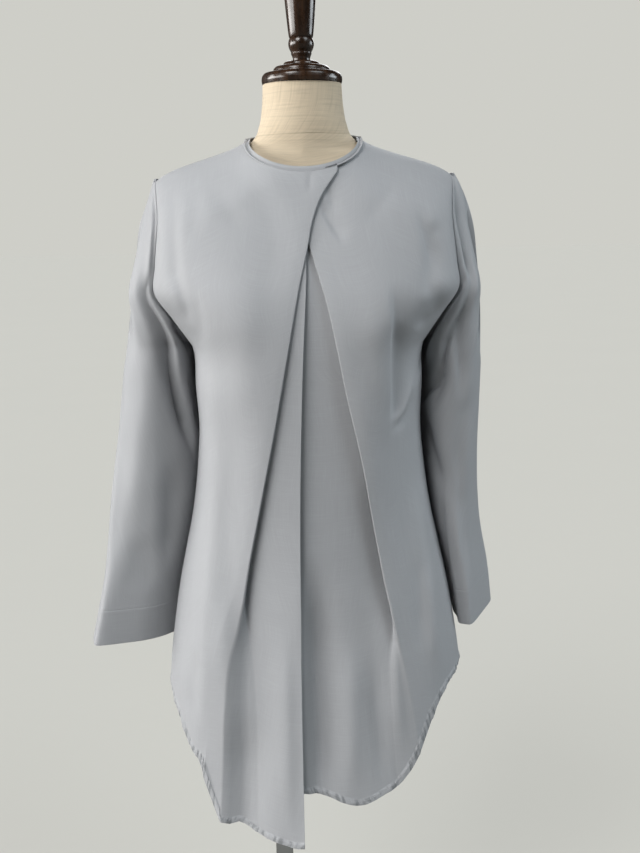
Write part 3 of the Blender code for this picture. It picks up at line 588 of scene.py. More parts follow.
# Half of the button's section, with a hollow on top
BUTTON_PROFILE = Table(
    "radius height",
    (0.05, -1.2),
    (3.1, -1.2),
    (4.5, -0.84),
    (5, -0.12),
    (4.9, 0.54),
    (4.4, 1.14),
    (3.7, 1.104),
    (2.75, 0.66),
    (0.05, 0.54),
)


def grid_of(*coordinates):
    """One grid of points from a grid, a row or a number for each coordinate."""
    return np.stack(np.broadcast_arrays(*coordinates), axis=-1)


def smooth_step(t):
    t = np.clip(t, 0, 1)
    return t * t * (3 - 2 * t)


def shoulder_height(x):
    """The height of the shoulder line, carried on over the neck as a low crown."""
    outward = np.abs(x) - NECK_HALF_WIDTH
    curl = SHOULDER_CURL * np.exp(-np.maximum(outward, 0) / SHOULDER_CURL_LENGTH)
    tip = SHOULDER_TIP_DROP * np.clip(outward / (SHOULDER_TIP - NECK_HALF_WIDTH), 0, 1.1) ** 8
    line = NECK_SIDE_HEIGHT - SHOULDER_CURL - SHOULDER_SLOPE * outward + curl - tip
    crown = NECK_SIDE_HEIGHT + NECK_CROWN * (1 - (x / NECK_HALF_WIDTH) ** 2)
    return np.where(outward > 0, line, crown)


def top_height(x, facing):
    """The height of a panel's top edge: the shoulder seam, then the neckline."""
    reach = np.sqrt(np.clip(1 - (x / NECK_HALF_WIDTH) ** 2, 0, 1))
    drop = -NECK_FRONT_DROP if facing == FRONT else NECK_BACK_RISE
    neckline = NECK_SIDE_HEIGHT + drop * (reach if facing == FRONT else reach**2)
    return np.where(np.abs(x) > NECK_HALF_WIDTH, shoulder_height(x), neckline)


def side_y(z, facing):
    """The y of the armhole's edge, and of the side seam below it."""
    reach = np.sqrt(np.clip(1 - ((z - ARMHOLE_MIDDLE) / ARMHOLE_RISE) ** 2, 0, 1))
    depth = ARMHOLE_FRONT if facing == FRONT else ARMHOLE_BACK
    return SIDE_Y + facing * (depth * reach + HALF_SEAM)


def eased_side_y(z, facing, share):
    """side_y for a point at that share of the half width.

    Away from the edge, the armhole's oval is only a soft swell.
    """
    depth = ARMHOLE_FRONT if facing == FRONT else ARMHOLE_BACK
    swell = np.exp(-np.abs((z - ARMHOLE_MIDDLE) / (ARMHOLE_EASE * ARMHOLE_RISE)) ** 4)
    soft = SIDE_Y + facing * (depth * swell + HALF_SEAM)
    return soft + (side_y(z, facing) - soft) * share**ARMHOLE_EDGE_POWER


def folds(table, x, z):
    """The summed rise of a table of soft folds. Each fades in and out along its length."""
    total = np.zeros(np.broadcast(x, z).shape)
    for x_top, z_top, x_low, z_low, spread, rise in table.rows:
        along = (z_top - z) / (z_top - z_low)
        middle = x_top + (x_low - x_top) * along
        fade = smooth_step(along / 0.25 + 0.3) * smooth_step((1 - along) / 0.3 + 0.3)
        total = total + rise * fade * np.exp(-(((x - middle) / spread) ** 2))
    return total


def creases(table, u, z, unit=1.0):
    """The summed rise of a table of finer creases, each with two flanks of its own.

    unit turns u, x in metres or an angle in degrees, into metres along the cloth.
    """
    total = np.zeros(np.broadcast(u, z).shape)
    for u_top, z_top, u_low, z_low, bow, near, far, rise in table.rows:
        start = np.array([u_top * unit, z_top])
        run = np.array([u_low * unit, z_low]) - start
        length = math.hypot(*run)
        along = ((u * unit - start[0]) * run[0] + (z - start[1]) * run[1]) / length**2
        aside = ((z - start[1]) * run[0] - (u * unit - start[0]) * run[1]) / length
        aside = aside - bow * 4 * along * (1 - along)
        flank = np.where(aside < 0, near, far)
        fade = smooth_step(along / CREASE_END) * smooth_step((1 - along) / CREASE_END)
        total = total + rise * fade * np.exp(-((aside / flank) ** 2))
    return total


def body_relief(x, z, facing):
    """How far the cloth stands out from the plain body section: the bust it hangs from, and its folds."""
    if facing == BACK:
        return folds(BACK_FOLDS, x, z) + creases(BACK_CREASES, x, z)
    relief = folds(FRONT_FOLDS, x, z) + creases(FRONT_CREASES, x, z)
    below = np.clip((BUST_HEIGHT - z) / BUST_HANG, 0, 1)
    above = np.clip((z - BUST_HEIGHT) / (1.6 * BUST_SPREAD), 0, None)
    upright = np.where(z < BUST_HEIGHT, 1 - smooth_step(below), np.exp(-(above**2)))
    across = np.exp(-(((np.abs(x) - BUST_HALF_SPACING) / BUST_SPREAD) ** 2))
    return relief + BUST_RISE * upright * across


def body_point(x, z, facing, depth=0.0):
    """A point of the cloth body at that x and height, moved inwards by depth."""
    half_width = BODY.at(z, "half_width")
    share = np.clip(np.abs(x) / half_width, 0, 1)
    rim = eased_side_y(z, facing, share)
    centre = BODY.at(z, "front" if facing == FRONT else "back")
    y = rim + (centre - rim) * np.sqrt(1 - share**SECTION_POWER)
    drop = np.clip((shoulder_height(x) - z) / SHOULDER_ROUND, 0, 1)
    seam = SIDE_Y + facing * HALF_SEAM
    y = seam + (y - seam) * np.sqrt(1 - (1 - drop) ** 2)
    sine = np.sign(x) * share ** (SECTION_POWER / 2)
    cosine = facing * np.sqrt(1 - share**SECTION_POWER)
    out = body_relief(x, z, facing) * (1 - share**RELIEF_EDGE_POWER) * smooth_step(3 * drop)
    return grid_of(x + out * sine, y + out * cosine - facing * depth, z)


def row_shares(corner_height):
    """How far down each row lies: close rows round the armhole's oval, and closer ones at the hem."""
    angles = np.linspace(0, math.pi, ARMHOLE_ROWS + 1)
    heights = ARMHOLE_MIDDLE + ARMHOLE_RISE * np.cos(angles)
    lower = np.linspace(ARMHOLE_BOTTOM, corner_height + HEM_ROWS_SPAN, SKIRT_ROWS + 1)[1:]
    hem = np.linspace(corner_height + HEM_ROWS_SPAN, corner_height, HEM_ROWS + 1)[1:]
    return (ARMHOLE_TOP - np.concatenate([heights, lower, hem])) / (ARMHOLE_TOP - corner_height)


def circles(table, z):
    """The two circles that a front half's cloth runs round: over the edge fold, and under the valley fold.

    Both are (across, up, radius), with up pointing outwards from the body's surface.
    """
    edge = table.at(z, "edge")
    edge_radius = table.at(z, "edge_radius")
    valley_radius = table.at(z, "valley_radius")
    edge_up = -table.at(z, "edge_depth") - edge_radius
    valley = edge - table.at(z, "under") + valley_radius
    valley_up = -table.at(z, "valley_depth") + valley_radius
    return (edge - edge_radius, edge_up, edge_radius), (valley, valley_up, valley_radius)


def flap_depth(table, z, across):
    """The flap's depth: the edge's own depth near the edge, fading away from it."""
    away = table.at(z, "edge") - table.at(z, "lap") - across
    return table.at(z, "edge_depth") * (1 - smooth_step(away / FLAP_LIFT_WIDTH))


def flap_end(table, z):
    """(across, up) where the flap's plain part ends and its edge fold begins."""
    (middle, _, radius), _ = circles(table, z)
    across = middle - radius - FLAP_CURL_WIDTH
    return across, -flap_depth(table, z, across)


def fold_directions(table, z):
    """The cloth's direction before the edge fold, between the folds, and after the valley fold."""
    edge, valley = circles(table, z)
    start = flap_end(table, z)
    end = table.at(z, "end"), -table.at(z, "end_depth")

    def bearing(a, b, offset):
        across, up = b[0] - a[0], b[1] - a[1]
        return np.arctan2(up, across), np.arcsin(np.clip(offset / np.hypot(across, up), -1, 1))

    base, lean = bearing(start, edge, edge[2])
    before = base + lean
    base, lean = bearing(edge, valley, edge[2] + valley[2])
    between = np.where(base > math.pi / 2, base - 2 * math.pi, base) - lean
    base, lean = bearing(valley, end, valley[2])
    return before, between, base + lean


def side_spacing(count, degrees):
    """Shares spaced like points on a turn of that many degrees, closest together where it starts."""
    turn = math.radians(degrees)
    return np.array([(1 - math.cos(turn * i / count)) / (1 - math.cos(turn)) for i in range(count)])


def front_stretches():
    """The stretches of a front half from its side seam inwards, each with its columns' shares."""
    return [
        ("shoulder", side_spacing(34, 72)),
        ("chest", side_spacing(44, 115)),
        ("edge", np.linspace(0, 1, 12)),
        ("turn", np.linspace(0, 1, 6)[1:-1]),
        ("valley", np.linspace(0, 1, 12)),
        ("under", np.linspace(0, 1, 22)[1:]),
    ]


def front_column(table, stretch, share, z):
    """(across, depth) of columns of one stretch at heights z."""
    top = table.keys[-1]
    if stretch in ("shoulder", "chest"):
        tip = float(BODY.at(ARMHOLE_TOP, "half_width"))
        corner = (tip - NECK_HALF_WIDTH) / (tip + float(flap_end(table, top)[0]))
        share = corner * share if stretch == "shoulder" else corner + (1 - corner) * share
        half_width = BODY.at(z, "half_width")
        across = -half_width + (flap_end(table, z)[0] + half_width) * share
        return across, flap_depth(table, z, across)
    edge, valley = circles(table, z)
    before, between, after = fold_directions(table, z)

    def round_edge(angle):
        return edge[0] - edge[2] * np.sin(angle), edge[1] + edge[2] * np.cos(angle)

    def round_valley(angle):
        return valley[0] + valley[2] * np.sin(angle), valley[1] - valley[2] * np.cos(angle)

    if stretch == "edge":
        across, up = round_edge(before + (between - before) * share)
    elif stretch == "valley":
        across, up = round_valley(between + (after - between) * share)
    else:
        if stretch == "turn":
            start, end = round_edge(between), round_valley(between)
        else:
            start = round_valley(after)
            end = table.at(z, "end"), -table.at(z, "end_depth")
        across = start[0] + (end[0] - start[0]) * share
        up = start[1] + (end[1] - start[1]) * share
    return across, -up


def settled(height_of, start):
    """The height where each column meets an edge whose height depends on the column's own x."""
    z = start
    for _ in range(SETTLING_STEPS):
        z = 0.5 * (z + height_of(z))
    return z


def front_half(table, hem, side):
    """Rows of points of a front half. side is -1 for the wearer's right half and 1 for the left."""
    corner = float(hem.at(side * BODY.at(SIDE_HEM_HEIGHT, "half_width"), "height"))
    blocks = []
    for stretch, shares in front_stretches():

        def x_at(z, stretch=stretch, shares=shares):
            return -side * front_column(table, stretch, shares, z)[0]

        top = settled(lambda z: top_height(x_at(z), FRONT), np.full(len(shares), ARMHOLE_TOP))
        low = settled(lambda z: hem.at(x_at(z), "height"), np.full(len(shares), corner))
        z = top + (low - top) * row_shares(corner)[:, None]
        across, depth = front_column(table, stretch, shares, z)
        blocks.append(body_point(-side * across, z, FRONT, depth))
    return np.concatenate(blocks, axis=1)


def back_panel():
    """Rows of points of the back, with the neck slit between its two middle columns."""
    reach = BODY.at(SIDE_HEM_HEIGHT, "half_width")
    corners = [float(HEM_BACK.at(side * reach, "height")) for side in (-1, 1)]
    middle_shares = row_shares(sum(corners) / 2)
    tip = float(BODY.at(ARMHOLE_TOP, "half_width"))
    neck = 1 - NECK_HALF_WIDTH / tip
    shares = np.concatenate([neck * side_spacing(34, 72), neck + (1 - neck) * side_spacing(34, 90), [1.0]])
    slit_end = NECK_SIDE_HEIGHT + NECK_BACK_RISE - SLIT_DEPTH
    halves = []
    for side, corner in zip((-1, 1), corners):

        def x_at(z, side=side):
            return side * BODY.at(z, "half_width") * (1 - shares)

        top = settled(lambda z: top_height(x_at(z), BACK), np.full(len(shares), ARMHOLE_TOP))
        low = settled(lambda z: HEM_BACK.at(x_at(z), "height"), np.full(len(shares), corner))
        # Both halves share their rows at the middle, where they join below the slit
        side_shares = row_shares(corner)[:, None]
        z = top + (low - top) * (side_shares + (middle_shares[:, None] - side_shares) * shares)
        gap = np.where(z > slit_end, SLIT_HALF_GAP, 0)
        x = side * np.maximum(np.abs(x_at(z)), gap)
        points = body_point(x, z, BACK)
        halves.append(points if side < 0 else points[:, ::-1])
    return np.concatenate(halves, axis=1)


def sleeve_ring(tables, side, angle, z):
    """Points of a sleeve. angle 0 is the outer side, and it grows towards the front.

    The ring's open ends are pulled onto the armhole's edge, which eases off below the underarm.
    """
    table, fold_table, crease_table = tables
    angle = angle % (2 * math.pi)
    signed = np.where(angle > math.pi, angle - 2 * math.pi, angle)
    facing_front = signed >= 0
    level = np.clip((z - ARMHOLE_MIDDLE) / ARMHOLE_RISE, -1, 1)
    widest = np.arccos(level)
    degrees = np.degrees(angle)
    edge_share = 1 - (widest - np.abs(signed)) / CREASE_FADE_ANGLE
    held = smooth_step(edge_share) * smooth_step(1 - (ARMHOLE_BOTTOM - z) / CREASE_FADE_DROP)
    rise = folds(fold_table, degrees, z)
    crease = creases(crease_table, degrees, z, SLEEVE_DEGREE) * (1 - held)
    turn = np.radians(table.at(z, "turn"))
    flat = smooth_step(1 - (z - table.keys[0] - CUFF_DEPTH) / CUFF_FLAT_RISE)
    square = smooth_step((SLEEVE_SQUARE_TOP - z) / SLEEVE_SQUARE_RISE)

    def ring(at, rise):
        sine, cosine = np.sin(at), np.cos(at)
        # Towards the wrist, the outer side is squarer and the inner side is folded flat
        outer_power = 1 - SLEEVE_FLATNESS * flat - SLEEVE_SQUARENESS * square
        cosine_power = np.where(cosine > 0, outer_power, 1)
        sine_power = np.where(cosine > 0, outer_power, 1 + SLEEVE_INNER_FOLD * flat)
        out = (table.at(z, "half_out") + rise) * np.sign(cosine) * np.abs(cosine) ** cosine_power
        fore = (table.at(z, "half_y") + rise) * np.sign(sine) * np.abs(sine) ** sine_power
        return (
            table.at(z, "out") + out * np.cos(turn) + fore * np.sin(turn),
            table.at(z, "y") + out * np.sin(turn) - fore * np.cos(turn),
        )

    out, y = ring(signed, rise + crease)
    settle = smooth_step(1 - (ARMHOLE_BOTTOM - z) / UNDERARM_EASE)
    pull = smooth_step(np.abs(signed) / np.maximum(widest, 1e-6)) * settle
    edge_out, edge_y = ring(np.where(facing_front, widest, -widest), rise)
    seam_z = np.maximum(z, ARMHOLE_BOTTOM)
    width = BODY.at(seam_z, "half_width")
    front = body_point(width, seam_z, FRONT)[..., 1]
    back = body_point(width, seam_z, BACK)[..., 1]
    out = out + (width + ARMHOLE_GAP - edge_out) * pull
    y = y + (np.where(facing_front, front, back) - edge_y) * pull
    return grid_of(side * out, y, z)


def sleeve(tables, side, low, high=None, rows=SLEEVE_ROWS):
    """Rows of points of a sleeve, from its armhole or a height high down to a height low.

    The columns start and end at the underarm seam.
    """
    angle = math.pi + 2 * math.pi * np.arange(SLEEVE_COLUMNS) / SLEEVE_COLUMNS
    share = np.linspace(0, 1, rows + 1)[:, None]
    top = np.full(SLEEVE_COLUMNS, high)
    if high is None:
        top = ARMHOLE_MIDDLE + ARMHOLE_RISE * np.cos(angle)
        share = share**SLEEVE_ROW_POWER
    return sleeve_ring(tables, side, angle, top + (low - top) * share)


def lengths_along(points, axis):
    """How far each point lies from the first one, along the rows or down the columns, in metres."""
    steps = np.linalg.norm(np.diff(points, axis=axis), axis=-1)
    zero = np.zeros_like(steps.take([0], axis=axis))
    return np.concatenate([zero, np.cumsum(steps, axis=axis)], axis=axis)


def normals_of(points, closed=False):
    """Unit normals of a grid of points."""
    if closed:
        points = np.concatenate([points[:, -1:], points, points[:, :1]], axis=1)
    down = np.gradient(points, axis=0)
    across = np.gradient(points, axis=1)
    normal = np.cross(down, across)
    normal /= np.maximum(np.linalg.norm(normal, axis=-1, keepdims=True), 1e-12)
    return normal[:, 1:-1] if closed else normal


def turned_in(points, edges, outward, closed=False):
    """Rows of points with sewn edges rolled inwards, as at a seam.

    edges gives how far each named side reaches out before it rolls.
    """
    for side, reach in edges.items():
        normal = normals_of(points, closed) * outward
        upright = side in ("top", "low")
        grid, normal = (points, normal) if upright else (points.swapaxes(0, 1), normal.swapaxes(0, 1))
        if side in ("low", "end"):
            grid, normal = grid[::-1], normal[::-1]
        out = grid[0] - grid[2]
        out /= np.maximum(np.linalg.norm(out, axis=-1, keepdims=True), 1e-9)
        rows = [grid[0] + reach * out - (reach + SEAM_TURN) * normal[0]]
        for angle in TURNED_ANGLES:
            over, under = math.sin(math.radians(angle)), 1 - math.cos(math.radians(angle))
            rows.append(grid[0] + reach * (over * out - under * normal[0]))
        grid = np.concatenate([rows, grid])
        if side in ("low", "end"):
            grid = grid[::-1]
        points = grid if upright else grid.swapaxes(0, 1)
    return points


def hem_distance(points):
    """How far each point lies from the last row, measured square to it."""
    edge = np.gradient(points[-1], axis=0)
    level = np.hypot(edge[:, 0], edge[:, 1]) / np.maximum(np.linalg.norm(edge, axis=-1), 1e-9)
    up = lengths_along(points[::-1], axis=0)[::-1]
    return up * level


def uneven(length, seed, sizes):
    """A rise and fall along a length in metres. sizes are rows of (wavelength, height)."""
    chance = np.random.default_rng(seed)
    total = np.zeros_like(length)
    for wavelength, height in sizes:
        total += height * np.sin(2 * math.pi * (length / wavelength + chance.random()))
    return total


def linked(name, mesh, slot, node):
    """An object for a mesh, finished, riding on the frame and standing for its CAD node."""
    made = bpy.data.objects.new(name, mesh)
    bpy.context.scene.collection.objects.link(made)
    mesh.materials.append(finish(slot))
    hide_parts(node)
    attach(made, "root")
    return made


def grid_mesh(name, points, maps, closed=False, cut_after=None):
    """(mesh, kept) of a surface through rows of points, with UV maps given as grids of (u, v).

    closed joins the last column to the first. No face spans cut_after, whose two columns are one
    where their points meet. kept lists which points the mesh has.
    """
    rows, columns = points.shape[:2]
    order = np.arange(rows * columns).reshape(rows, columns)
    if cut_after is not None:
        meet = np.abs(points[:, cut_after] - points[:, cut_after + 1]).max(axis=-1) < 1e-6
        order[meet, cut_after + 1] = order[meet, cut_after]
    if closed:
        order = np.concatenate([order, order[:, :1]], axis=1)
    spans = np.array([c for c in range(order.shape[1] - 1) if c != cut_after])
    corners = [(0, 0), (1, 0), (1, 1), (0, 1)]
    faces = np.stack([order[r : r + rows - 1][:, spans + c] for r, c in corners], axis=-1).reshape(-1, 4)
    kept, faces = np.unique(faces, return_inverse=True)
    mesh = bpy.data.meshes.new(name)
    mesh.from_pydata(points.reshape(-1, 3)[kept].tolist(), [], faces.reshape(-1, 4).tolist())
    for label, grid in maps.items():
        loops = np.stack([grid[r : r + rows - 1][:, spans + c] for r, c in corners], axis=2)
        mesh.uv_layers.new(name=label).uv.foreach_set("vector", loops.astype(np.float32).ravel())
    return mesh, kept


def closed_up(mesh):
    """Joins doubled points, fills open rims and smooths all but the real corners."""
    made = bmesh.new()
    made.from_mesh(mesh)
    bmesh.ops.remove_doubles(made, verts=made.verts, dist=1e-7)
    bmesh.ops.holes_fill(made, edges=[edge for edge in made.edges if edge.is_boundary], sides=0)
    bmesh.ops.recalc_face_normals(made, faces=made.faces)
    made.to_mesh(mesh)
    made.free()
    mesh.shade_smooth()
    mesh.set_sharp_from_angle(angle=SHARP_ANGLE)


def walled(made, thickness, thick=None, kept=None, thin_share=1.0):
    """Gives a surface its wall.

    thick is a grid of weights for where the wall is full, and thin_share is the least share of it.
    """
    shell = made.modifiers.new("wall", "SOLIDIFY")
    shell.thickness = thickness
    shell.offset = 0
    shell.use_rim = True
    if thick is not None:
        group = made.vertex_groups.new(name="turned_edge")
        weights = thick.ravel()[kept]
        for index in np.nonzero(weights > 0.003)[0]:
            group.add([int(index)], float(weights[index]), "REPLACE")
        shell.vertex_group = group.name
        shell.thickness_vertex_group = thin_share
    applied(made)


def applied(made):
    """Applies an object's modifiers and keeps its real corners sharp."""
    depsgraph = bpy.context.evaluated_depsgraph_get()
    old = made.data
    name = old.name
    mesh = bpy.data.meshes.new_from_object(made.evaluated_get(depsgraph))
    made.modifiers.clear()
    made.data = mesh
    bpy.data.meshes.remove(old)
    mesh.name = name
    mesh.shade_smooth()
    mesh.set_sharp_from_angle(angle=SHARP_ANGLE)


def cloth_maps(points, edges, closed=False, hemmed=False):
    """The UV maps of a cloth grid, in metres: "grain" along the threads, "hem" and "seam" from the edges.

    edges names which sides of the grid are sewn: "top", "low", "start", "end". Where there's no stitched
    hem, that map keeps far from it.
    """
    if closed:
        points = np.concatenate([points, points[:, :1]], axis=1)
    across = lengths_along(points, axis=1)
    down = lengths_along(points, axis=0)
    away = hem_distance(points) + (0 if hemmed else 1)
    hem = grid_of(across[-1], away)
    far = np.full(across.shape, 1.0)
    choices = {
        "top": (across, down),
        "low": (across, down[-1:] - down),
        "start": (down, across),
        "end": (down, across[:, -1:] - across),
    }
    along = across
    for side in edges:
        run, away = choices[side]
        along = np.where(away < far, run, along)
        far = np.minimum(far, away)
    return {"grain": grid_of(across, down), "hem": hem, "seam": grid_of(along, far)}


def cloth(node, points, edges, outward, cut_after=None, closed=False, hem=None):
    """A cloth piece: a thin wall round its grid of points, finished with its sewn edges rolled in.

    hem is the seed of the puckers in its turned and stitched hem, where it has one.
    """
    settings = bpy.context.scene.tunic_cloth
    points = turned_in(points, edges, outward, closed)
    maps = cloth_maps(points, edges, closed, hemmed=hem is not None)
    full, thick = settings.wall, None
    if hem is not None:
        along, away = maps["hem"][..., 0], maps["hem"][..., 1]
        full = settings.hem_thickness
        band = 1 - smooth_step((away - settings.hem_width) / HEM_STEP)
        thick = band * np.clip(HEM_EDGE_SHARE + away / HEM_ROLL, 0, 1)
        ripple = uneven(along, hem, HEM_RIPPLES) * np.exp(-((away / (settings.hem_width * 1.5)) ** 2))
        pucker = uneven(along + HEM_SLANT * away, hem + 1, HEM_PUCKERS) * band
        points = points + normals_of(points, closed) * (ripple + pucker)[..., None]
    mesh, kept = grid_mesh(node, points, maps, closed, cut_after)
    made = linked(f"crepe_{node}", mesh, "grey_crepe", node)
    walled(made, full, thick, kept, settings.wall / full)
    return made


def lathe(node, profile, slot, x=0.0, sides=ROUND_SIDES):
    """A solid turned from a profile of (radius, height), lowest first, about an upright axis."""
    radius, height = np.array(profile, float).T
    angle = 2 * math.pi * np.arange(sides) / sides
    points = grid_of(x + radius[:, None] * np.cos(angle), radius[:, None] * np.sin(angle), height[:, None])
    run = lengths_along(grid_of(radius, 0, height)[:, None], axis=0)
    grain = grid_of(np.linspace(0, 2 * math.pi, sides + 1) * radius.max(), run)
    mesh, _ = grid_mesh(node, points[::-1], {"grain": grain[::-1]}, closed=True)
    closed_up(mesh)
    return linked(f"form_{node}", mesh, slot, node)


def eased(profile, ease=1.2 * MM, steps=4):
    """A profile with its corners rounded: each is cut back by ease and bridged by a curve."""
    points = [np.array(p, float) for p in profile]
    made = [points[0]]
    for before, corner, after in zip(points, points[1:], points[2:]):
        reach = min(ease, np.linalg.norm(before - corner) * 0.45, np.linalg.norm(after - corner) * 0.45)
        start = corner + (before - corner) / np.linalg.norm(before - corner) * reach
        end = corner + (after - corner) / np.linalg.norm(after - corner) * reach
        for step in range(steps + 1):
            t = step / steps
            made.append((1 - t) ** 2 * start + 2 * t * (1 - t) * corner + t**2 * end)
    made.append(points[-1])
    return made


class Recipe:
    """Adds nodes to a tree and links them, so that a finish reads as a short recipe."""

    def __init__(self, tree):
        self.tree = tree
        self.count = 0

    def fill(self, node, inputs):
        """Gives a node its inputs, by name or number. Sockets are linked and plain values are set."""
        for key, value in inputs.items():
            if isinstance(value, bpy.types.NodeSocket):
                self.tree.links.new(value, node.inputs[key])
            else:
                node.inputs[key].default_value = value

    def add(self, kind, inputs=None, **settings):
        node = self.tree.nodes.new(kind)
        node.location = (190 * (self.count // 4), -260 * (self.count % 4))
        self.count += 1
        for key, value in settings.items():
            setattr(node, key, value)
        self.fill(node, inputs or {})
        return node

    def math(self, operation, a, b=0.0, c=0.0):
        return self.add("ShaderNodeMath", {0: a, 1: b, 2: c}, operation=operation).outputs[0]

    def times(self, a, b):
        return self.math("MULTIPLY", a, b)

    def plus(self, a, b):
        return self.math("ADD", a, b)

    def minus(self, a, b):
        return self.math("SUBTRACT", a, b)

    def scaled(self, value, share, start):
        """value times share, added to start."""
        return self.math("MULTIPLY_ADD", value, share, start)

    def off(self, value, middle):
        """How far value lies from middle."""
        return self.math("ABSOLUTE", self.minus(value, middle))

    def between(self, value, low, high, to_low=0.0, to_high=1.0):
        """value mapped from one range to another along a smooth curve, and held inside it."""
        inputs = {"Value": value, "From Min": low, "From Max": high, "To Min": to_low, "To Max": to_high}
        return self.add("ShaderNodeMapRange", inputs, interpolation_type="SMOOTHSTEP").outputs["Result"]

    def noise(self, vector, scale, detail=3.0, roughness=0.5, stretch=None):
        """Fractal noise. stretch scales the vector first, more along the axes where the noise is finer."""
        if stretch is not None:
            stretched = self.add("ShaderNodeVectorMath", {0: vector, 1: stretch}, operation="MULTIPLY")
            vector = stretched.outputs["Vector"]
        inputs = {"Vector": vector, "Scale": scale, "Detail": detail, "Roughness": roughness}
        return self.add("ShaderNodeTexNoise", inputs).outputs["Fac"]

    def mixed(self, share, low, high, blend="MIX"):
        node = self.add("ShaderNodeMix", {0: share, 6: low, 7: high}, data_type="RGBA", blend_type=blend)
        return node.outputs[2]

    def grey(self, tone):
        return self.add("ShaderNodeCombineColor", {0: tone, 1: tone, 2: tone}).outputs[0]

    def split(self, vector):
        return self.add("ShaderNodeSeparateXYZ", {0: vector}).outputs

    def uv(self, name):
        return self.add("ShaderNodeUVMap", uv_map=name).outputs["UV"]

    def place(self):
        """Where a point lies on its object, in metres."""
        return self.add("ShaderNodeTexCoord").outputs["Object"]

    def seen(self):
        """1 for what the camera sees directly."""
        return self.add("ShaderNodeLightPath").outputs["Is Camera Ray"]

    def group(self, shared_tree, **inputs):
        """The outputs of a shared group."""
        node = self.add("ShaderNodeGroup", node_tree=shared_tree())
        self.fill(node, {label(key): value for key, value in inputs.items()})
        return node.outputs

    def dulled(self, group, least, most):
        """A roughness between two values, rougher where the group's dulling is."""
        return self.between(group["Dulling"], 0.0, 1.0, least, most)

    def bump(self, height, distance):
        inputs = {"Height": height, "Distance": distance, "Strength": 1.0}
        return self.add("ShaderNodeBump", inputs).outputs["Normal"]


def label(key):
    """A group socket's name from its key, such as Stitch length from stitch_length."""
    return key.replace("_", " ").capitalize()


def shared(**defaults):
    """Turns a function that fills a shader node group into one that gives the group, made on first use.

    defaults has each input's default: None for a vector, a number for a value, a tuple for a colour.
    The function gives the outputs by name.
    """

    def wrapped(fill):
        name = fill.__name__.replace("_", " ")

        def shared_tree():
            if name in bpy.data.node_groups:
                return bpy.data.node_groups[name]
            tree = bpy.data.node_groups.new(name, "ShaderNodeTree")
            for key, value in defaults.items():
                kind = "NodeSocket" + {float: "Float", tuple: "Color"}.get(type(value), "Vector")
                socket = tree.interface.new_socket(label(key), in_out="INPUT", socket_type=kind)
                if value is not None:
                    socket.default_value = value
            recipe = Recipe(tree)
            made = fill(recipe, recipe.add("NodeGroupInput").outputs)
            for key, socket in made.items():
                kind = "NodeSocketColor" if socket.type == "RGBA" else "NodeSocketFloat"
                tree.interface.new_socket(key, in_out="OUTPUT", socket_type=kind)
            recipe.add("NodeGroupOutput", made)
            return tree

        return shared_tree

    return wrapped


@shared(grain=None, pitch=0.0005, slubs=0.2, streaks=0.2)
def woven_threads(recipe, given):
    """Plain weave: raised crossings of warp and weft, with thicker slub threads both ways."""
    split = recipe.split(given["Grain"])
    turns = recipe.math("DIVIDE", 2 * math.pi, given["Pitch"])
    warp, weft = (recipe.math("SINE", recipe.times(split[axis], turns)) for axis in (0, 1))
    crossings = recipe.scaled(recipe.times(warp, weft), 0.5, 0.5)
    fine = recipe.math("DIVIDE", 0.45, given["Pitch"])
    stretches = (recipe.add("ShaderNodeCombineXYZ", {thin: fine, 1 - thin: 24.0}) for thin in (0, 1))
    tall, wide = (recipe.noise(given["Grain"], 1.0, 1.0, stretch=made.outputs[0]) for made in stretches)
    slubs = recipe.times(recipe.between(recipe.math("MAXIMUM", tall, wide), 0.56, 0.74), given["Slubs"])
    streaks = recipe.minus(recipe.plus(tall, wide), 1.0)
    return {
        "Height": recipe.scaled(slubs, 0.8, crossings),
        "Tone": recipe.scaled(streaks, given["Streaks"], recipe.times(slubs, 0.3)),
    }


@shared(edge=None, inset=0.006, stitch_length=0.0028)
def stitch_line(recipe, given):
    """One row of stitches at a set distance from an edge, and the hem drawn up between the two, with painted
    shade in the hollows between its puckers.
    """
    along, away, _ = recipe.split(given["Edge"])
    off = recipe.off(away, given["Inset"])
    line = recipe.between(off, 0.00015, 0.0005, 1.0, 0.0)
    place = recipe.math("FRACT", recipe.math("DIVIDE", along, given["Stitch length"]))
    dash = recipe.between(recipe.off(place, 0.5), 0.3, 0.42, 1.0, 0.0)
    gathered = recipe.between(off, 0.0, 0.0022, 1.0, 0.0)
    thread = recipe.times(line, dash)
    sunk = recipe.times(gathered, recipe.scaled(dash, 0.4, 0.6))
    slanted = recipe.add("ShaderNodeMapping", {"Vector": given["Edge"], "Rotation": (0, 0, 0.35)}).outputs[0]
    drawn = recipe.between(recipe.noise(slanted, 1.0, 3.0, stretch=(150, 40, 1)), 0.38, 0.56)
    inset = given["Inset"]
    turned, step = (recipe.between(away, inset, recipe.plus(inset, end), 1.0, 0.0) for end in (0.004, 0.0012))
    height = recipe.scaled(thread, 0.7, recipe.times(sunk, -1.0))
    height = recipe.scaled(recipe.times(turned, drawn), 3.4, height)
    return {
        "Mask": thread,
        "Height": recipe.plus(height, step),
        # Painted shade: the turned hem darkens in the hollows between its drawn-up puckers
        "Shade": recipe.times(turned, recipe.minus(1.0, drawn)),
    }


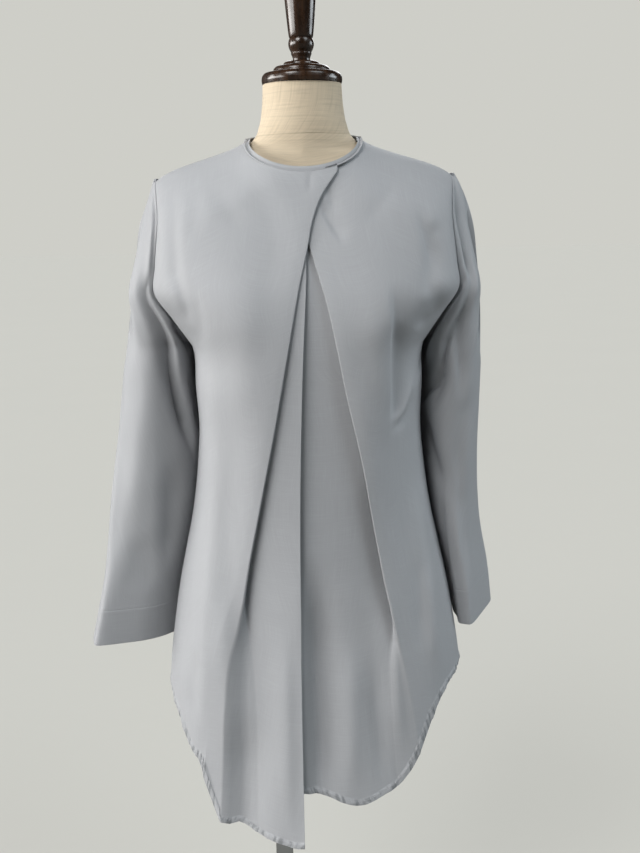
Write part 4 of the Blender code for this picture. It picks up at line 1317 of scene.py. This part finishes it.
@shared(edge=None, width=0.010)
def pressed_seam(recipe, given):
    """The pressed ridge of a seam allowance under the cloth, and the drawn line of the seam itself."""
    away = recipe.split(given["Edge"])[1]
    ridge = recipe.between(away, recipe.minus(given["Width"], 0.0018), given["Width"], 1.0, 0.0)
    line = recipe.between(away, 0.0002, 0.0016, 1.0, 0.0)
    drawn = recipe.noise(given["Edge"], 1.0, 2.0, stretch=(260, 60, 1))
    pucker = recipe.times(recipe.between(away, 0.0, 0.011, 1.0, 0.0), drawn)
    height = recipe.scaled(line, -1.2, recipe.times(ridge, 0.35))
    return {"Mask": line, "Height": recipe.scaled(pucker, 0.8, height)}


@shared(position=None, colour=(0.5, 0.5, 0.5, 1), scale=9.0, amount=0.2)
def mottling(recipe, given):
    """Broad and fine unevenness of a colour, and where dust and handling dull it."""
    broad = recipe.noise(given["Position"], given["Scale"], 4.0, 0.55)
    fine = recipe.noise(given["Position"], recipe.times(given["Scale"], 14.0), 3.0, 0.6)
    both = recipe.plus(recipe.times(broad, 0.7), recipe.times(fine, 0.3))
    tone = recipe.plus(recipe.times(recipe.minus(both, 0.5), given["Amount"]), 1.0)
    return {
        "Colour": recipe.mixed(1.0, given["Colour"], recipe.grey(tone), "MULTIPLY"),
        "Dulling": recipe.between(both, 0.42, 0.62),
    }


def new_finish(name):
    """(recipe, shader) of an empty material with a Principled shader."""
    made = bpy.data.materials.new(name)
    made.use_nodes = True
    return Recipe(made.node_tree), made.node_tree.nodes["Principled BSDF"]


def grey_crepe(name):
    """Matt crepe: fine plain weave with a crinkle, stitched hems with painted shade between their puckers,
    pressed seams and a soft bloom.
    """
    settings = bpy.context.scene.tunic_cloth
    recipe, shader = new_finish(name)
    grain = recipe.uv("grain")
    threads = recipe.group(woven_threads, grain=grain, pitch=settings.thread_pitch, slubs=0.12, streaks=0.22)
    stitches = recipe.group(stitch_line, edge=recipe.uv("hem"), inset=settings.hem_width - 1 * MM)
    seams = recipe.group(pressed_seam, edge=recipe.uv("seam"), width=10 * MM)
    tint = recipe.group(mottling, position=grain, colour=(*settings.colour, 1), scale=7.0, amount=0.10)
    colour = recipe.mixed(0.5, tint["Colour"], recipe.grey(recipe.plus(threads["Tone"], 1.0)), "MULTIPLY")
    # Dark seam lines, painted shade in the hem's hollows between its puckers, and pale stitch thread
    for mask, share, shade in (
        (seams["Mask"], 0.60, (0.08, 0.085, 0.10, 1)),
        (stitches["Shade"], 0.60, (0.11, 0.12, 0.125, 1)),
        (stitches["Mask"], 0.30, (0.44, 0.45, 0.48, 1)),
    ):
        colour = recipe.mixed(recipe.times(mask, share), colour, shade)
    height = recipe.times(recipe.noise(grain, 420.0, 3.0, 0.6), 0.4)
    for relief, share in ((threads, 0.15), (stitches, 1.6), (seams, 2.2)):
        height = recipe.scaled(relief["Height"], share, height)
    looks = {
        "Base Color": colour,
        "Roughness": recipe.dulled(tint, 0.60, 0.68),
        "Specular IOR Level": 0.32,
        "Sheen Weight": 0.05,
        "Sheen Roughness": 0.45,
        "Normal": recipe.bump(height, 0.12 * MM),
    }
    recipe.fill(shader, looks)


def form_linen(name):
    """Plain linen pulled tight: open weave with thick slubs, and the stitched join round the neck."""
    settings = bpy.context.scene.tunic_form
    recipe, shader = new_finish(name)
    place = recipe.place()
    threads = recipe.group(
        woven_threads, grain=recipe.uv("grain"), pitch=settings.linen_pitch, slubs=0.45, streaks=0.7
    )
    tint = recipe.group(mottling, position=place, colour=(*settings.linen_colour, 1), scale=11.0, amount=0.16)
    tone = recipe.grey(recipe.scaled(threads["Tone"], -0.45, 1.02))
    colour = recipe.mixed(0.8, tint["Colour"], tone, "MULTIPLY")
    join = recipe.between(recipe.off(recipe.split(place)[2], settings.neck_join), 0.0003, 0.0012, 1.0, 0.0)
    looks = {
        "Base Color": recipe.mixed(recipe.times(join, 0.25), colour, (0.30, 0.24, 0.17, 1)),
        "Roughness": recipe.dulled(tint, 0.82, 0.94),
        "Specular IOR Level": 0.25,
        "Sheen Weight": 0.12,
        "Normal": recipe.bump(recipe.scaled(join, -1.5, threads["Height"]), 0.16 * MM),
    }
    recipe.fill(shader, looks)


def dark_wood(name):
    """Turned hardwood under a dark stain and gloss varnish, with pores along the grain and worn beads."""
    stain = bpy.context.scene.tunic_form.wood_colour
    recipe, shader = new_finish(name)
    place = recipe.place()
    figure = recipe.noise(place, 1.0, 5.0, 0.6, stretch=(160, 160, 9))
    pores = recipe.between(recipe.noise(place, 1.0, 2.0, stretch=(900, 900, 40)), 0.60, 0.72)
    dark = tuple(0.42 * c for c in stain)
    colour = recipe.mixed(recipe.between(figure, 0.36, 0.66), (*dark, 1), (*stain, 1))
    colour = recipe.mixed(recipe.times(pores, 0.6), colour, (0.008, 0.004, 0.003, 1))
    worn = recipe.group(mottling, position=place, colour=colour, scale=60.0, amount=0.5)
    looks = {
        "Base Color": worn["Colour"],
        "Roughness": recipe.dulled(worn, 0.20, 0.36),
        "Specular IOR Level": 0.35,
        "Coat Weight": 0.35,
        "Coat Roughness": 0.10,
        "Normal": recipe.bump(recipe.scaled(pores, -1.0, recipe.times(figure, 0.6)), 0.012 * MM),
    }
    recipe.fill(shader, looks)


def chrome(name):
    """Bright plate on the pole: fine draw lines, and faint smears where hands have moved it."""
    recipe, shader = new_finish(name)
    place = recipe.place()
    worn = recipe.group(mottling, position=place, colour=(0.78, 0.79, 0.80, 1), scale=26.0, amount=0.12)
    looks = {
        "Base Color": worn["Colour"],
        "Metallic": 1.0,
        "Roughness": recipe.dulled(worn, 0.06, 0.20),
        "Normal": recipe.bump(recipe.noise(place, 1.0, 2.0, stretch=(700, 700, 6)), 0.012 * MM),
    }
    recipe.fill(shader, looks)


def stand_metal(name):
    """Dark satin lacquer with a slight orange peel, dulled by dust."""
    recipe, shader = new_finish(name)
    place = recipe.place()
    worn = recipe.group(mottling, position=place, colour=(0.045, 0.045, 0.050, 1), scale=18.0, amount=0.35)
    up = recipe.split(recipe.add("ShaderNodeNewGeometry").outputs["Normal"])[2]
    dust = recipe.times(recipe.between(up, 0.5, 1.0), worn["Dulling"])
    looks = {
        "Base Color": recipe.mixed(recipe.times(dust, 0.08), worn["Colour"], (0.35, 0.34, 0.32, 1)),
        "Metallic": 0.35,
        "Roughness": recipe.between(dust, 0.0, 1.0, 0.34, 0.55),
        "Normal": recipe.bump(recipe.noise(place, 900.0, 2.0), 0.04 * MM),
    }
    recipe.fill(shader, looks)


def button_shell(name):
    """A dyed shell button: thin growth lines across it, under a soft gloss."""
    recipe, shader = new_finish(name)
    place = recipe.place()
    layers = recipe.noise(place, 1.0, 4.0, stretch=(300, 900, 500))
    tint = recipe.group(mottling, position=place, colour=(0.42, 0.43, 0.47, 1), scale=240.0, amount=0.4)
    pale = recipe.between(layers, 0.45, 0.62, 0.0, 0.5)
    looks = {
        "Base Color": recipe.mixed(pale, tint["Colour"], (0.62, 0.63, 0.66, 1)),
        "Roughness": recipe.dulled(tint, 0.22, 0.36),
        "Coat Weight": 0.4,
        "Normal": recipe.bump(layers, 0.03 * MM),
    }
    recipe.fill(shader, looks)


def loop_thread(name):
    """Twisted thread: slanting plies round the cord, with loose fibres, and painted shade in the grooves
    between the plies.
    """
    recipe, shader = new_finish(name)
    grain = recipe.uv("grain")
    split = recipe.split(grain)
    slant = recipe.plus(recipe.times(split[0], 5200.0), recipe.times(split[1], 2600.0))
    plies = recipe.scaled(recipe.math("SINE", slant), 0.5, 0.5)
    fibres = recipe.noise(grain, 1.0, 2.0, stretch=(2500, 9000, 1))
    tint = recipe.group(mottling, position=grain, colour=(0.30, 0.31, 0.34, 1), scale=90.0, amount=0.3)
    looks = {
        # Painted shade: the colour darkens towards the grooves between the plies, where the bump is lowest
        "Base Color": recipe.mixed(recipe.times(plies, 0.5), (0.16, 0.165, 0.18, 1), tint["Colour"]),
        "Roughness": recipe.between(fibres, 0.3, 0.7, 0.60, 0.80),
        "Normal": recipe.bump(recipe.scaled(fibres, 0.4, plies), 0.15 * MM),
    }
    recipe.fill(shader, looks)


FINISHES = (grey_crepe, form_linen, dark_wood, chrome, stand_metal, button_shell, loop_thread)


def finish(slot):
    """The material of a slot, made on first use. The solids' plain materials have the slots' bare names."""
    name = f"{slot}_finish"
    if name not in bpy.data.materials:
        {made.__name__: made for made in FINISHES}[slot](name)
    return bpy.data.materials[name]


def number_field(name, about, value, **settings):
    return FloatProperty(name=name, description=about, default=value, **settings)


def length_field(name, about, value, low, high):
    return number_field(name, about, value, unit="LENGTH", min=low, max=high)


def angle_field(name, about, degrees):
    return number_field(name, about, math.radians(degrees), subtype="ANGLE")


def colour_field(name, about, value):
    settings = {"subtype": "COLOR", "size": 3, "min": 0, "max": 1}
    return FloatVectorProperty(name=name, description=about, default=value, **settings)


class TUNIC_PG_cloth(bpy.types.PropertyGroup):
    """Sizes and colour of the tunic's cloth."""

    colour: colour_field("Crepe Colour", "Base colour of the crepe", (0.322, 0.330, 0.345))
    wall: length_field("Cloth Thickness", "Thickness of one layer of cloth", 0.9 * MM, 0.4 * MM, 1 * MM)
    hem_thickness: length_field("Hem Thickness", "Thickness of the turned hem", 1.9 * MM, 1 * MM, 3 * MM)
    hem_width: length_field("Hem Width", "Width of the turned hem", 7 * MM, 3 * MM, 20 * MM)
    thread_pitch: length_field("Thread Pitch", "Spacing of the crepe's threads", 0.5 * MM, 0.2 * MM, 2 * MM)


class TUNIC_PG_form(bpy.types.PropertyGroup):
    """Finishes of the dress form and its neck."""

    linen_colour: colour_field("Linen Colour", "Base colour of the linen cover", (0.57, 0.48, 0.355))
    linen_pitch: length_field("Linen Pitch", "Spacing of the linen's threads", 1 * MM, 0.4 * MM, 3 * MM)
    neck_join: length_field("Neck Join", "Height of the stitched join round the neck", 1.408, 1.3, 1.47)
    wood_colour: colour_field("Wood Colour", "Lighter colour in the stained wood", (0.036, 0.017, 0.008))


class TUNIC_PG_studio(bpy.types.PropertyGroup):
    """Light, backdrop and camera."""

    backdrop: colour_field("Backdrop Colour", "Colour of the floor and behind it", (0.60, 0.60, 0.56))
    key_strength: number_field("Key Strength", "Strength that every light is a share of", 4.4, min=0)
    softness: angle_field("Light Softness", "Angle that each light fills", 30)
    fill: number_field("Surrounding Light", "Strength of the even light from all round", 0.06, min=0)
    floor_glow: number_field("Floor Glow", "Share of the floor's tone that isn't lit", 0.70, min=0, max=1)
    camera_distance: length_field("Camera Distance", "How far it is in front of the neck", 1.32, 0.5, 20)
    camera_height: length_field("Camera Height", "Height of the camera", 1.32, 0.2, 5)
    camera_pitch: angle_field("Camera Pitch", "How far the camera looks down", 12.4)
    camera_yaw: angle_field("Camera Yaw", "How far the camera looks to the right", 0.59)
    camera_roll: angle_field("Camera Roll", "How far the camera is turned clockwise", 1.2)


class TUNIC_OT_front_panels(bpy.types.Operator):
    """Build the right and left fronts, folded back at their edges and crossed at the neck"""

    bl_idname = "tunic.front_panels"
    bl_label = "Front Panels"

    def execute(self, context):
        sewn = {"top": SEAM_REACH, "start": SEAM_REACH}
        for node, table, hem, side, seed in (
            ("front_right", FRONT_RIGHT, HEM_RIGHT, -1, 11),
            ("front_left", FRONT_LEFT, HEM_LEFT, 1, 23),
        ):
            made = cloth(node, front_half(table, hem, side), sewn, -side, hem=seed)
        return {"FINISHED"}


class TUNIC_OT_back_panel(bpy.types.Operator):
    """Build the back with its neck slit"""

    bl_idname = "tunic.back_panel"
    bl_label = "Back Panel"

    def execute(self, context):
        points = back_panel()
        sewn = {"top": SEAM_REACH, "start": SEAM_REACH, "end": SEAM_REACH}
        middle = points.shape[1] // 2 - 1 + TURNED_ROWS
        made = cloth("back", points, sewn, -1, cut_after=middle, hem=37)
        return {"FINISHED"}


class TUNIC_OT_sleeves(bpy.types.Operator):
    """Build both sleeves from the armhole down to the cuff seam"""

    bl_idname = "tunic.sleeves"
    bl_label = "Sleeves"

    def execute(self, context):
        for name, (tables, side) in SLEEVES.items():
            low = tables[0].keys[0] + CUFF_DEPTH + CUFF_GAP
            sewn = {"top": ARMHOLE_REACH, "low": CUFF_GAP}
            made = cloth(f"sleeve_{name}", sleeve(tables, side, low), sewn, -side, closed=True)
        return {"FINISHED"}


class TUNIC_OT_cuffs(bpy.types.Operator):
    """Build the plain folded bands at the wrists"""

    bl_idname = "tunic.cuffs"
    bl_label = "Cuffs"

    def execute(self, context):
        for name, (tables, side) in SLEEVES.items():
            low = tables[0].keys[0]
            points = sleeve(tables, side, low, high=low + CUFF_DEPTH, rows=CUFF_ROWS)
            points = turned_in(points, {"top": CUFF_GAP}, -side, closed=True)
            maps = cloth_maps(points, ("top", "start", "end"), closed=True)
            mesh, kept = grid_mesh(f"cuff_{name}", points, maps, closed=True)
            made = linked(f"crepe_cuff_{name}", mesh, "grey_crepe", f"cuff_{name}")
            thick = np.clip(CUFF_EDGE_SHARE + hem_distance(points) / (2 * MM), 0, 1)
            walled(made, CUFF_WALL, thick, kept, THIN_SHARE)
        return {"FINISHED"}


class TUNIC_OT_neck_binding(bpy.types.Operator):
    """Build the narrow bias strip round the neckline, open at the back slit"""

    bl_idname = "tunic.neck_binding"
    bl_label = "Neck Binding"

    def execute(self, context):
        angles = np.linspace(0, 2 * math.pi, BINDING_COLUMNS + 1)
        slit = SLIT_HALF_GAP + BINDING_SLIT_INSET
        x = (NECK_HALF_WIDTH - BINDING_LIFT) * np.sin(angles)
        back = np.cos(angles) > 0
        ends = back & (np.abs(x) < slit)
        x = np.where(ends, np.where(angles < math.pi, slit, -slit), x)
        height = np.where(back, top_height(x, BACK), top_height(x, FRONT))
        y = np.where(back, body_point(x, height, BACK)[..., 1], body_point(x, height, FRONT)[..., 1])
        middle = BINDING_MIDDLE * np.cos(angles)
        length = np.hypot(x, y - middle)
        share = np.linspace(1, 0, BINDING_ROWS + 1)[:, None]
        front = smooth_step(-1.6 * np.cos(angles))
        width = BINDING_WIDTH * (BINDING_BACK_WIDTH + (1 - BINDING_BACK_WIDTH) * front)
        lean = BINDING_LEAN * (BINDING_BACK_LEAN + (1 - BINDING_BACK_LEAN) * front)
        run = lengths_along(grid_of(x, y, height)[None], axis=1)[0]
        pulled = uneven(run, 5, BINDING_RIPPLES) * (1 - share)
        inward = lean * share - pulled - BINDING_HOLLOW * np.sin(math.pi * share)
        points = grid_of(
            x - inward * x / length,
            y - inward * (y - middle) / length,
            height + BINDING_LIFT + width * share,
        )
        points = turned_in(points, {"low": BINDING_REACH}, 1)
        share = np.concatenate([share, np.zeros((TURNED_ROWS, 1))])
        mesh, kept = grid_mesh("neck_binding", points, cloth_maps(points, ("start", "end")))
        made = linked("crepe_neck_binding", mesh, "grey_crepe", "neck_binding")
        thick = np.clip(BINDING_EDGE_SHARE + (1 - share) * BINDING_EDGE_RISE, 0, 1) + 0 * x
        walled(made, BINDING_WALL, thick, kept, THIN_SHARE)
        return {"FINISHED"}


class TUNIC_OT_fastening(bpy.types.Operator):
    """Build the button beside the back slit and the thread loop round it"""

    bl_idname = "tunic.fastening"
    bl_label = "Back Fastening"

    def execute(self, context):
        z = NECK_SIDE_HEIGHT + NECK_BACK_RISE - BUTTON_DROP
        x = np.float64(BUTTON_X)
        low, high = (Vector(body_point(x, np.float64(z + step), BACK)) for step in (-MM, MM))
        normal = Vector((1, 0, 0)).cross(low - high).normalized()
        seat = (low + high) / 2 + normal * (BUTTON_SEAT + SEAT_GAP + BUTTON_THICKNESS / 2)
        place = Matrix.Translation(seat) @ Vector((0, 0, 1)).rotation_difference(normal).to_matrix().to_4x4()
        profile = eased(BUTTON_PROFILE.rows, 0.5 * MM)
        button = lathe("neck_button", profile, "button_shell", sides=BUTTON_SIDES)
        button.data.transform(place)
        self.loop(place)
        return {"FINISHED"}

    def loop(self, place):
        """The twisted thread round the button, as a ring a little wider than it is tall."""
        around = np.linspace(0, 2 * math.pi, LOOP_ROWS + 1)
        along = 2 * math.pi * np.arange(LOOP_COLUMNS) / LOOP_COLUMNS
        reach = BUTTON_RADIUS + LOOP_WIRE + LOOP_CLEARANCE
        ply = 1 + LOOP_PLY_RISE * np.sin(LOOP_TURNS * along[None] + LOOP_PLIES * around[:, None])
        radial = reach + LOOP_WIRE * LOOP_CORE * ply * np.cos(around)[:, None]
        points = grid_of(
            LOOP_STRETCH * radial * np.cos(along),
            radial * np.sin(along),
            LOOP_WIRE * LOOP_CORE * ply * np.sin(around)[:, None],
        )
        grain = cloth_maps(points, (), closed=True)["grain"]
        mesh, _ = grid_mesh("button_loop", points, {"grain": grain}, closed=True)
        closed_up(mesh)
        mesh.transform(place)
        linked("thread_button_loop", mesh, "loop_thread", "button_loop")


class TUNIC_OT_torso(bpy.types.Operator):
    """Build the limbless torso under its linen cover"""

    bl_idname = "tunic.torso"
    bl_label = "Linen Torso"

    def execute(self, context):
        lower = np.linspace(FORM.keys[0], FORM_SHOULDERS, FORM_LOWER_ROWS)
        upper = np.linspace(FORM_SHOULDERS, FORM.keys[-1], FORM_UPPER_ROWS)[1:]
        z = np.concatenate([lower, upper])[::-1, None]
        angle = 2 * math.pi * np.arange(FORM_SIDES) / FORM_SIDES
        power = 2 / FORM.at(z, "power")
        sine, cosine = np.sin(angle), np.cos(angle)
        across = np.sign(cosine) * np.abs(cosine) ** power
        reach = np.where(sine > 0, FORM.at(z, "back"), FORM.at(z, "front")) - FORM.at(z, "middle")
        points = grid_of(
            FORM.at(z, "half_width") * across, FORM.at(z, "middle") + reach * np.abs(sine) ** power, z
        )
        mesh, _ = grid_mesh("torso_form", points, cloth_maps(points, (), closed=True), closed=True)
        closed_up(mesh)
        linked("form_torso", mesh, "form_linen", "torso_form")
        return {"FINISHED"}


class TUNIC_OT_neck_wood(bpy.types.Operator):
    """Build the turned cap and the column over the neck"""

    bl_idname = "tunic.neck_wood"
    bl_label = "Turned Neck"

    def execute(self, context):
        lathe("neck_cap", eased(CAP_PROFILE.rows, 1.4 * MM), "dark_wood")
        steps = np.linspace(0, COLUMN_PROFILE.keys[-1], COLUMN_ROWS)
        profile = grid_of(COLUMN_PROFILE.at(steps, "radius"), COLUMN_PROFILE.at(steps, "height"))
        lathe("neck_column", profile, "dark_wood")
        return {"FINISHED"}


class TUNIC_OT_stand(bpy.types.Operator):
    """Build the round base, the pole and the socket under the form"""

    bl_idname = "tunic.stand"
    bl_label = "Pole Stand"

    def execute(self, context):
        base = [
            (BASE_RADIUS - 2 * MM, 0),
            (BASE_RADIUS, 2 * MM),
            (BASE_RADIUS, BASE_THICKNESS - 4 * MM),
            (BASE_RADIUS - 4 * MM, BASE_THICKNESS),
            (HUB_RADIUS + 4 * MM, BASE_THICKNESS + 2 * MM),
            (HUB_RADIUS, BASE_THICKNESS + 5 * MM),
            (HUB_RADIUS - 4 * MM, HUB_HEIGHT),
        ]
        lathe("stand_base", eased(base, 3 * MM), "stand_metal", x=POLE_X, sides=BASE_SIDES)
        pole = [(POLE_RADIUS, HUB_HEIGHT + SEAT_GAP), (POLE_RADIUS, SOCKET_BOTTOM - SEAT_GAP)]
        lathe("stand_pole", pole, "chrome", x=POLE_X)
        socket = [
            (POLE_RADIUS + 5 * MM, SOCKET_BOTTOM),
            (POLE_RADIUS + 6 * MM, SOCKET_BOTTOM + 34 * MM),
            (POLE_RADIUS + 36 * MM, SOCKET_BOTTOM + 44 * MM),
            (POLE_RADIUS + 36 * MM, FORM_BOTTOM - SEAT_GAP),
        ]
        lathe("pole_socket", eased(socket, 2 * MM), "stand_metal", x=POLE_X)
        return {"FINISHED"}


# The soft lights: degrees from the camera's side towards image right, degrees up, share of the key
# strength, and colour
LIGHTS = {
    "window_light": (-96, 5, 0.61, (1.0, 0.985, 0.96)),
    "near_window_light": (-68, 6, 0.46, (1.0, 0.985, 0.96)),
    "key_light": (-36, 42, 0.55, (1.0, 0.99, 0.98)),
    "far_window_light": (99, 5, 0.34, (0.88, 0.95, 1.0)),
    "side_light": (52, 44, 0.27, (0.88, 0.96, 1.0)),
    "back_light": (172, 24, 0.13, (0.97, 0.98, 1.0)),
}
FLOOR_HALF_WIDTH = 30
BACKDROP_STRENGTH = 1.03
IMAGE_HEIGHT = 853
FOCAL_PIXELS = 1000


class TUNIC_OT_studio(bpy.types.Operator):
    """Set the pale floor, the soft lights and the camera"""

    bl_idname = "tunic.studio"
    bl_label = "Studio"

    def execute(self, context):
        settings = context.scene.tunic_studio
        self.floor(context, settings)
        self.surroundings(context, settings)
        self.lights(context, settings)
        self.camera(context, settings)
        context.scene.view_settings.view_transform = "Standard"
        return {"FINISHED"}

    def floor(self, context, settings):
        """A wide pale floor, partly lit and partly glowing evenly."""
        mesh = bpy.data.meshes.new("floor")
        corners = [(-1, -1), (1, -1), (1, 1), (-1, 1)]
        points = [(FLOOR_HALF_WIDTH * x, FLOOR_HALF_WIDTH * y, 0) for x, y in corners]
        mesh.from_pydata(points, [], [(0, 1, 2, 3)])
        floor = bpy.data.objects.new("floor", mesh)
        context.scene.collection.objects.link(floor)
        recipe, shader = new_finish("pale_floor")
        colour = (*settings.backdrop, 1)
        tint = recipe.group(mottling, position=recipe.place(), colour=colour, scale=1.5, amount=0.03)
        looks = {
            "Base Color": recipe.mixed(settings.floor_glow, tint["Colour"], (0, 0, 0, 1)),
            "Emission Color": tint["Colour"],
            "Emission Strength": recipe.times(recipe.seen(), settings.floor_glow),
            "Roughness": 1.0,
            "Specular IOR Level": 0.0,
        }
        recipe.fill(shader, looks)
        mesh.materials.append(bpy.data.materials["pale_floor"])

    def surroundings(self, context, settings):
        """Even light, stronger from image left, from surroundings that look as pale as the floor."""
        world = bpy.data.worlds.new("soft_surroundings")
        world.use_nodes = True
        recipe = Recipe(world.node_tree)
        across = recipe.split(recipe.add("ShaderNodeTexCoord").outputs["Generated"])[0]
        strength = recipe.times(recipe.between(across, -0.05, -0.75, 0.5, 2.0), settings.fill)
        lit = recipe.add("ShaderNodeBackground", {"Color": (0.97, 0.98, 1.0, 1), "Strength": strength})
        colour = (*settings.backdrop, 1)
        shown = recipe.add("ShaderNodeBackground", {"Color": colour, "Strength": BACKDROP_STRENGTH})
        chosen = recipe.add("ShaderNodeMixShader", {0: recipe.seen(), 1: lit.outputs[0], 2: shown.outputs[0]})
        recipe.fill(world.node_tree.nodes["World Output"], {"Surface": chosen.outputs[0]})
        context.scene.world = world

    def lights(self, context, settings):
        """Distant soft lights."""
        for name, (azimuth, elevation, share, colour) in LIGHTS.items():
            light = bpy.data.lights.new(name, "SUN")
            light.energy = share * settings.key_strength
            light.angle = settings.softness
            light.color = colour
            made = bpy.data.objects.new(name, light)
            turn, lift = math.radians(azimuth), math.radians(elevation)
            level = math.cos(lift)
            toward = Vector((math.sin(turn) * level, -math.cos(turn) * level, math.sin(lift)))
            made.rotation_euler = toward.to_track_quat("Z", "Y").to_euler()
            context.scene.collection.objects.link(made)

    def camera(self, context, settings):
        """A camera in front of the form, looking slightly down, with the photo's field of view."""
        data = bpy.data.cameras.new("camera")
        made = bpy.data.objects.new("camera", data)
        context.scene.collection.objects.link(made)
        data.sensor_fit = "AUTO"
        data.sensor_width = 36
        data.lens = FOCAL_PIXELS / IMAGE_HEIGHT * data.sensor_width
        pitch, yaw, roll = settings.camera_pitch, settings.camera_yaw, settings.camera_roll
        ahead = Vector((math.sin(yaw) * math.cos(pitch), math.cos(yaw) * math.cos(pitch), -math.sin(pitch)))
        level = ahead.cross(Vector((0, 0, 1))).normalized()
        upright = level.cross(ahead)
        right = level * math.cos(roll) - upright * math.sin(roll)
        up = level * math.sin(roll) + upright * math.cos(roll)
        turn = Matrix((right, up, -ahead)).transposed().to_4x4()
        made.matrix_world = Matrix.Translation((0, -settings.camera_distance, settings.camera_height)) @ turn
        context.scene.camera = made


class TUNIC_PT_pieces(bpy.types.Panel):
    """Lists the pieces and the studio"""

    bl_idname = "TUNIC_PT_pieces"
    bl_label = "Tunic on a Dress Form"
    bl_space_type = "VIEW_3D"
    bl_region_type = "UI"
    bl_category = "Tunic"

    def draw(self, context):
        column = self.layout.column(align=True)
        for operator in OPERATORS:
            column.operator(operator.bl_idname)
        for group in (context.scene.tunic_cloth, context.scene.tunic_form, context.scene.tunic_studio):
            box = self.layout.box()
            for name in group.__annotations__:
                box.prop(group, name)


OPERATORS = (
    TUNIC_OT_torso,
    TUNIC_OT_neck_wood,
    TUNIC_OT_stand,
    TUNIC_OT_back_panel,
    TUNIC_OT_front_panels,
    TUNIC_OT_sleeves,
    TUNIC_OT_cuffs,
    TUNIC_OT_neck_binding,
    TUNIC_OT_fastening,
    TUNIC_OT_studio,
)
CLASSES = (TUNIC_PG_cloth, TUNIC_PG_form, TUNIC_PG_studio, *OPERATORS, TUNIC_PT_pieces)


def register():
    for made in CLASSES:
        bpy.utils.register_class(made)
    bpy.types.Scene.tunic_cloth = PointerProperty(type=TUNIC_PG_cloth)
    bpy.types.Scene.tunic_form = PointerProperty(type=TUNIC_PG_form)
    bpy.types.Scene.tunic_studio = PointerProperty(type=TUNIC_PG_studio)


def unregister():
    del bpy.types.Scene.tunic_studio
    del bpy.types.Scene.tunic_form
    del bpy.types.Scene.tunic_cloth
    for made in reversed(CLASSES):
        bpy.utils.unregister_class(made)


def main():
    register()
    bpy.ops.tunic.torso()
    bpy.ops.tunic.neck_wood()
    bpy.ops.tunic.stand()
    bpy.ops.tunic.back_panel()
    bpy.ops.tunic.front_panels()
    bpy.ops.tunic.sleeves()
    bpy.ops.tunic.cuffs()
    bpy.ops.tunic.neck_binding()
    bpy.ops.tunic.fastening()
    bpy.ops.tunic.studio()


if __name__ == "__main__":
    main()
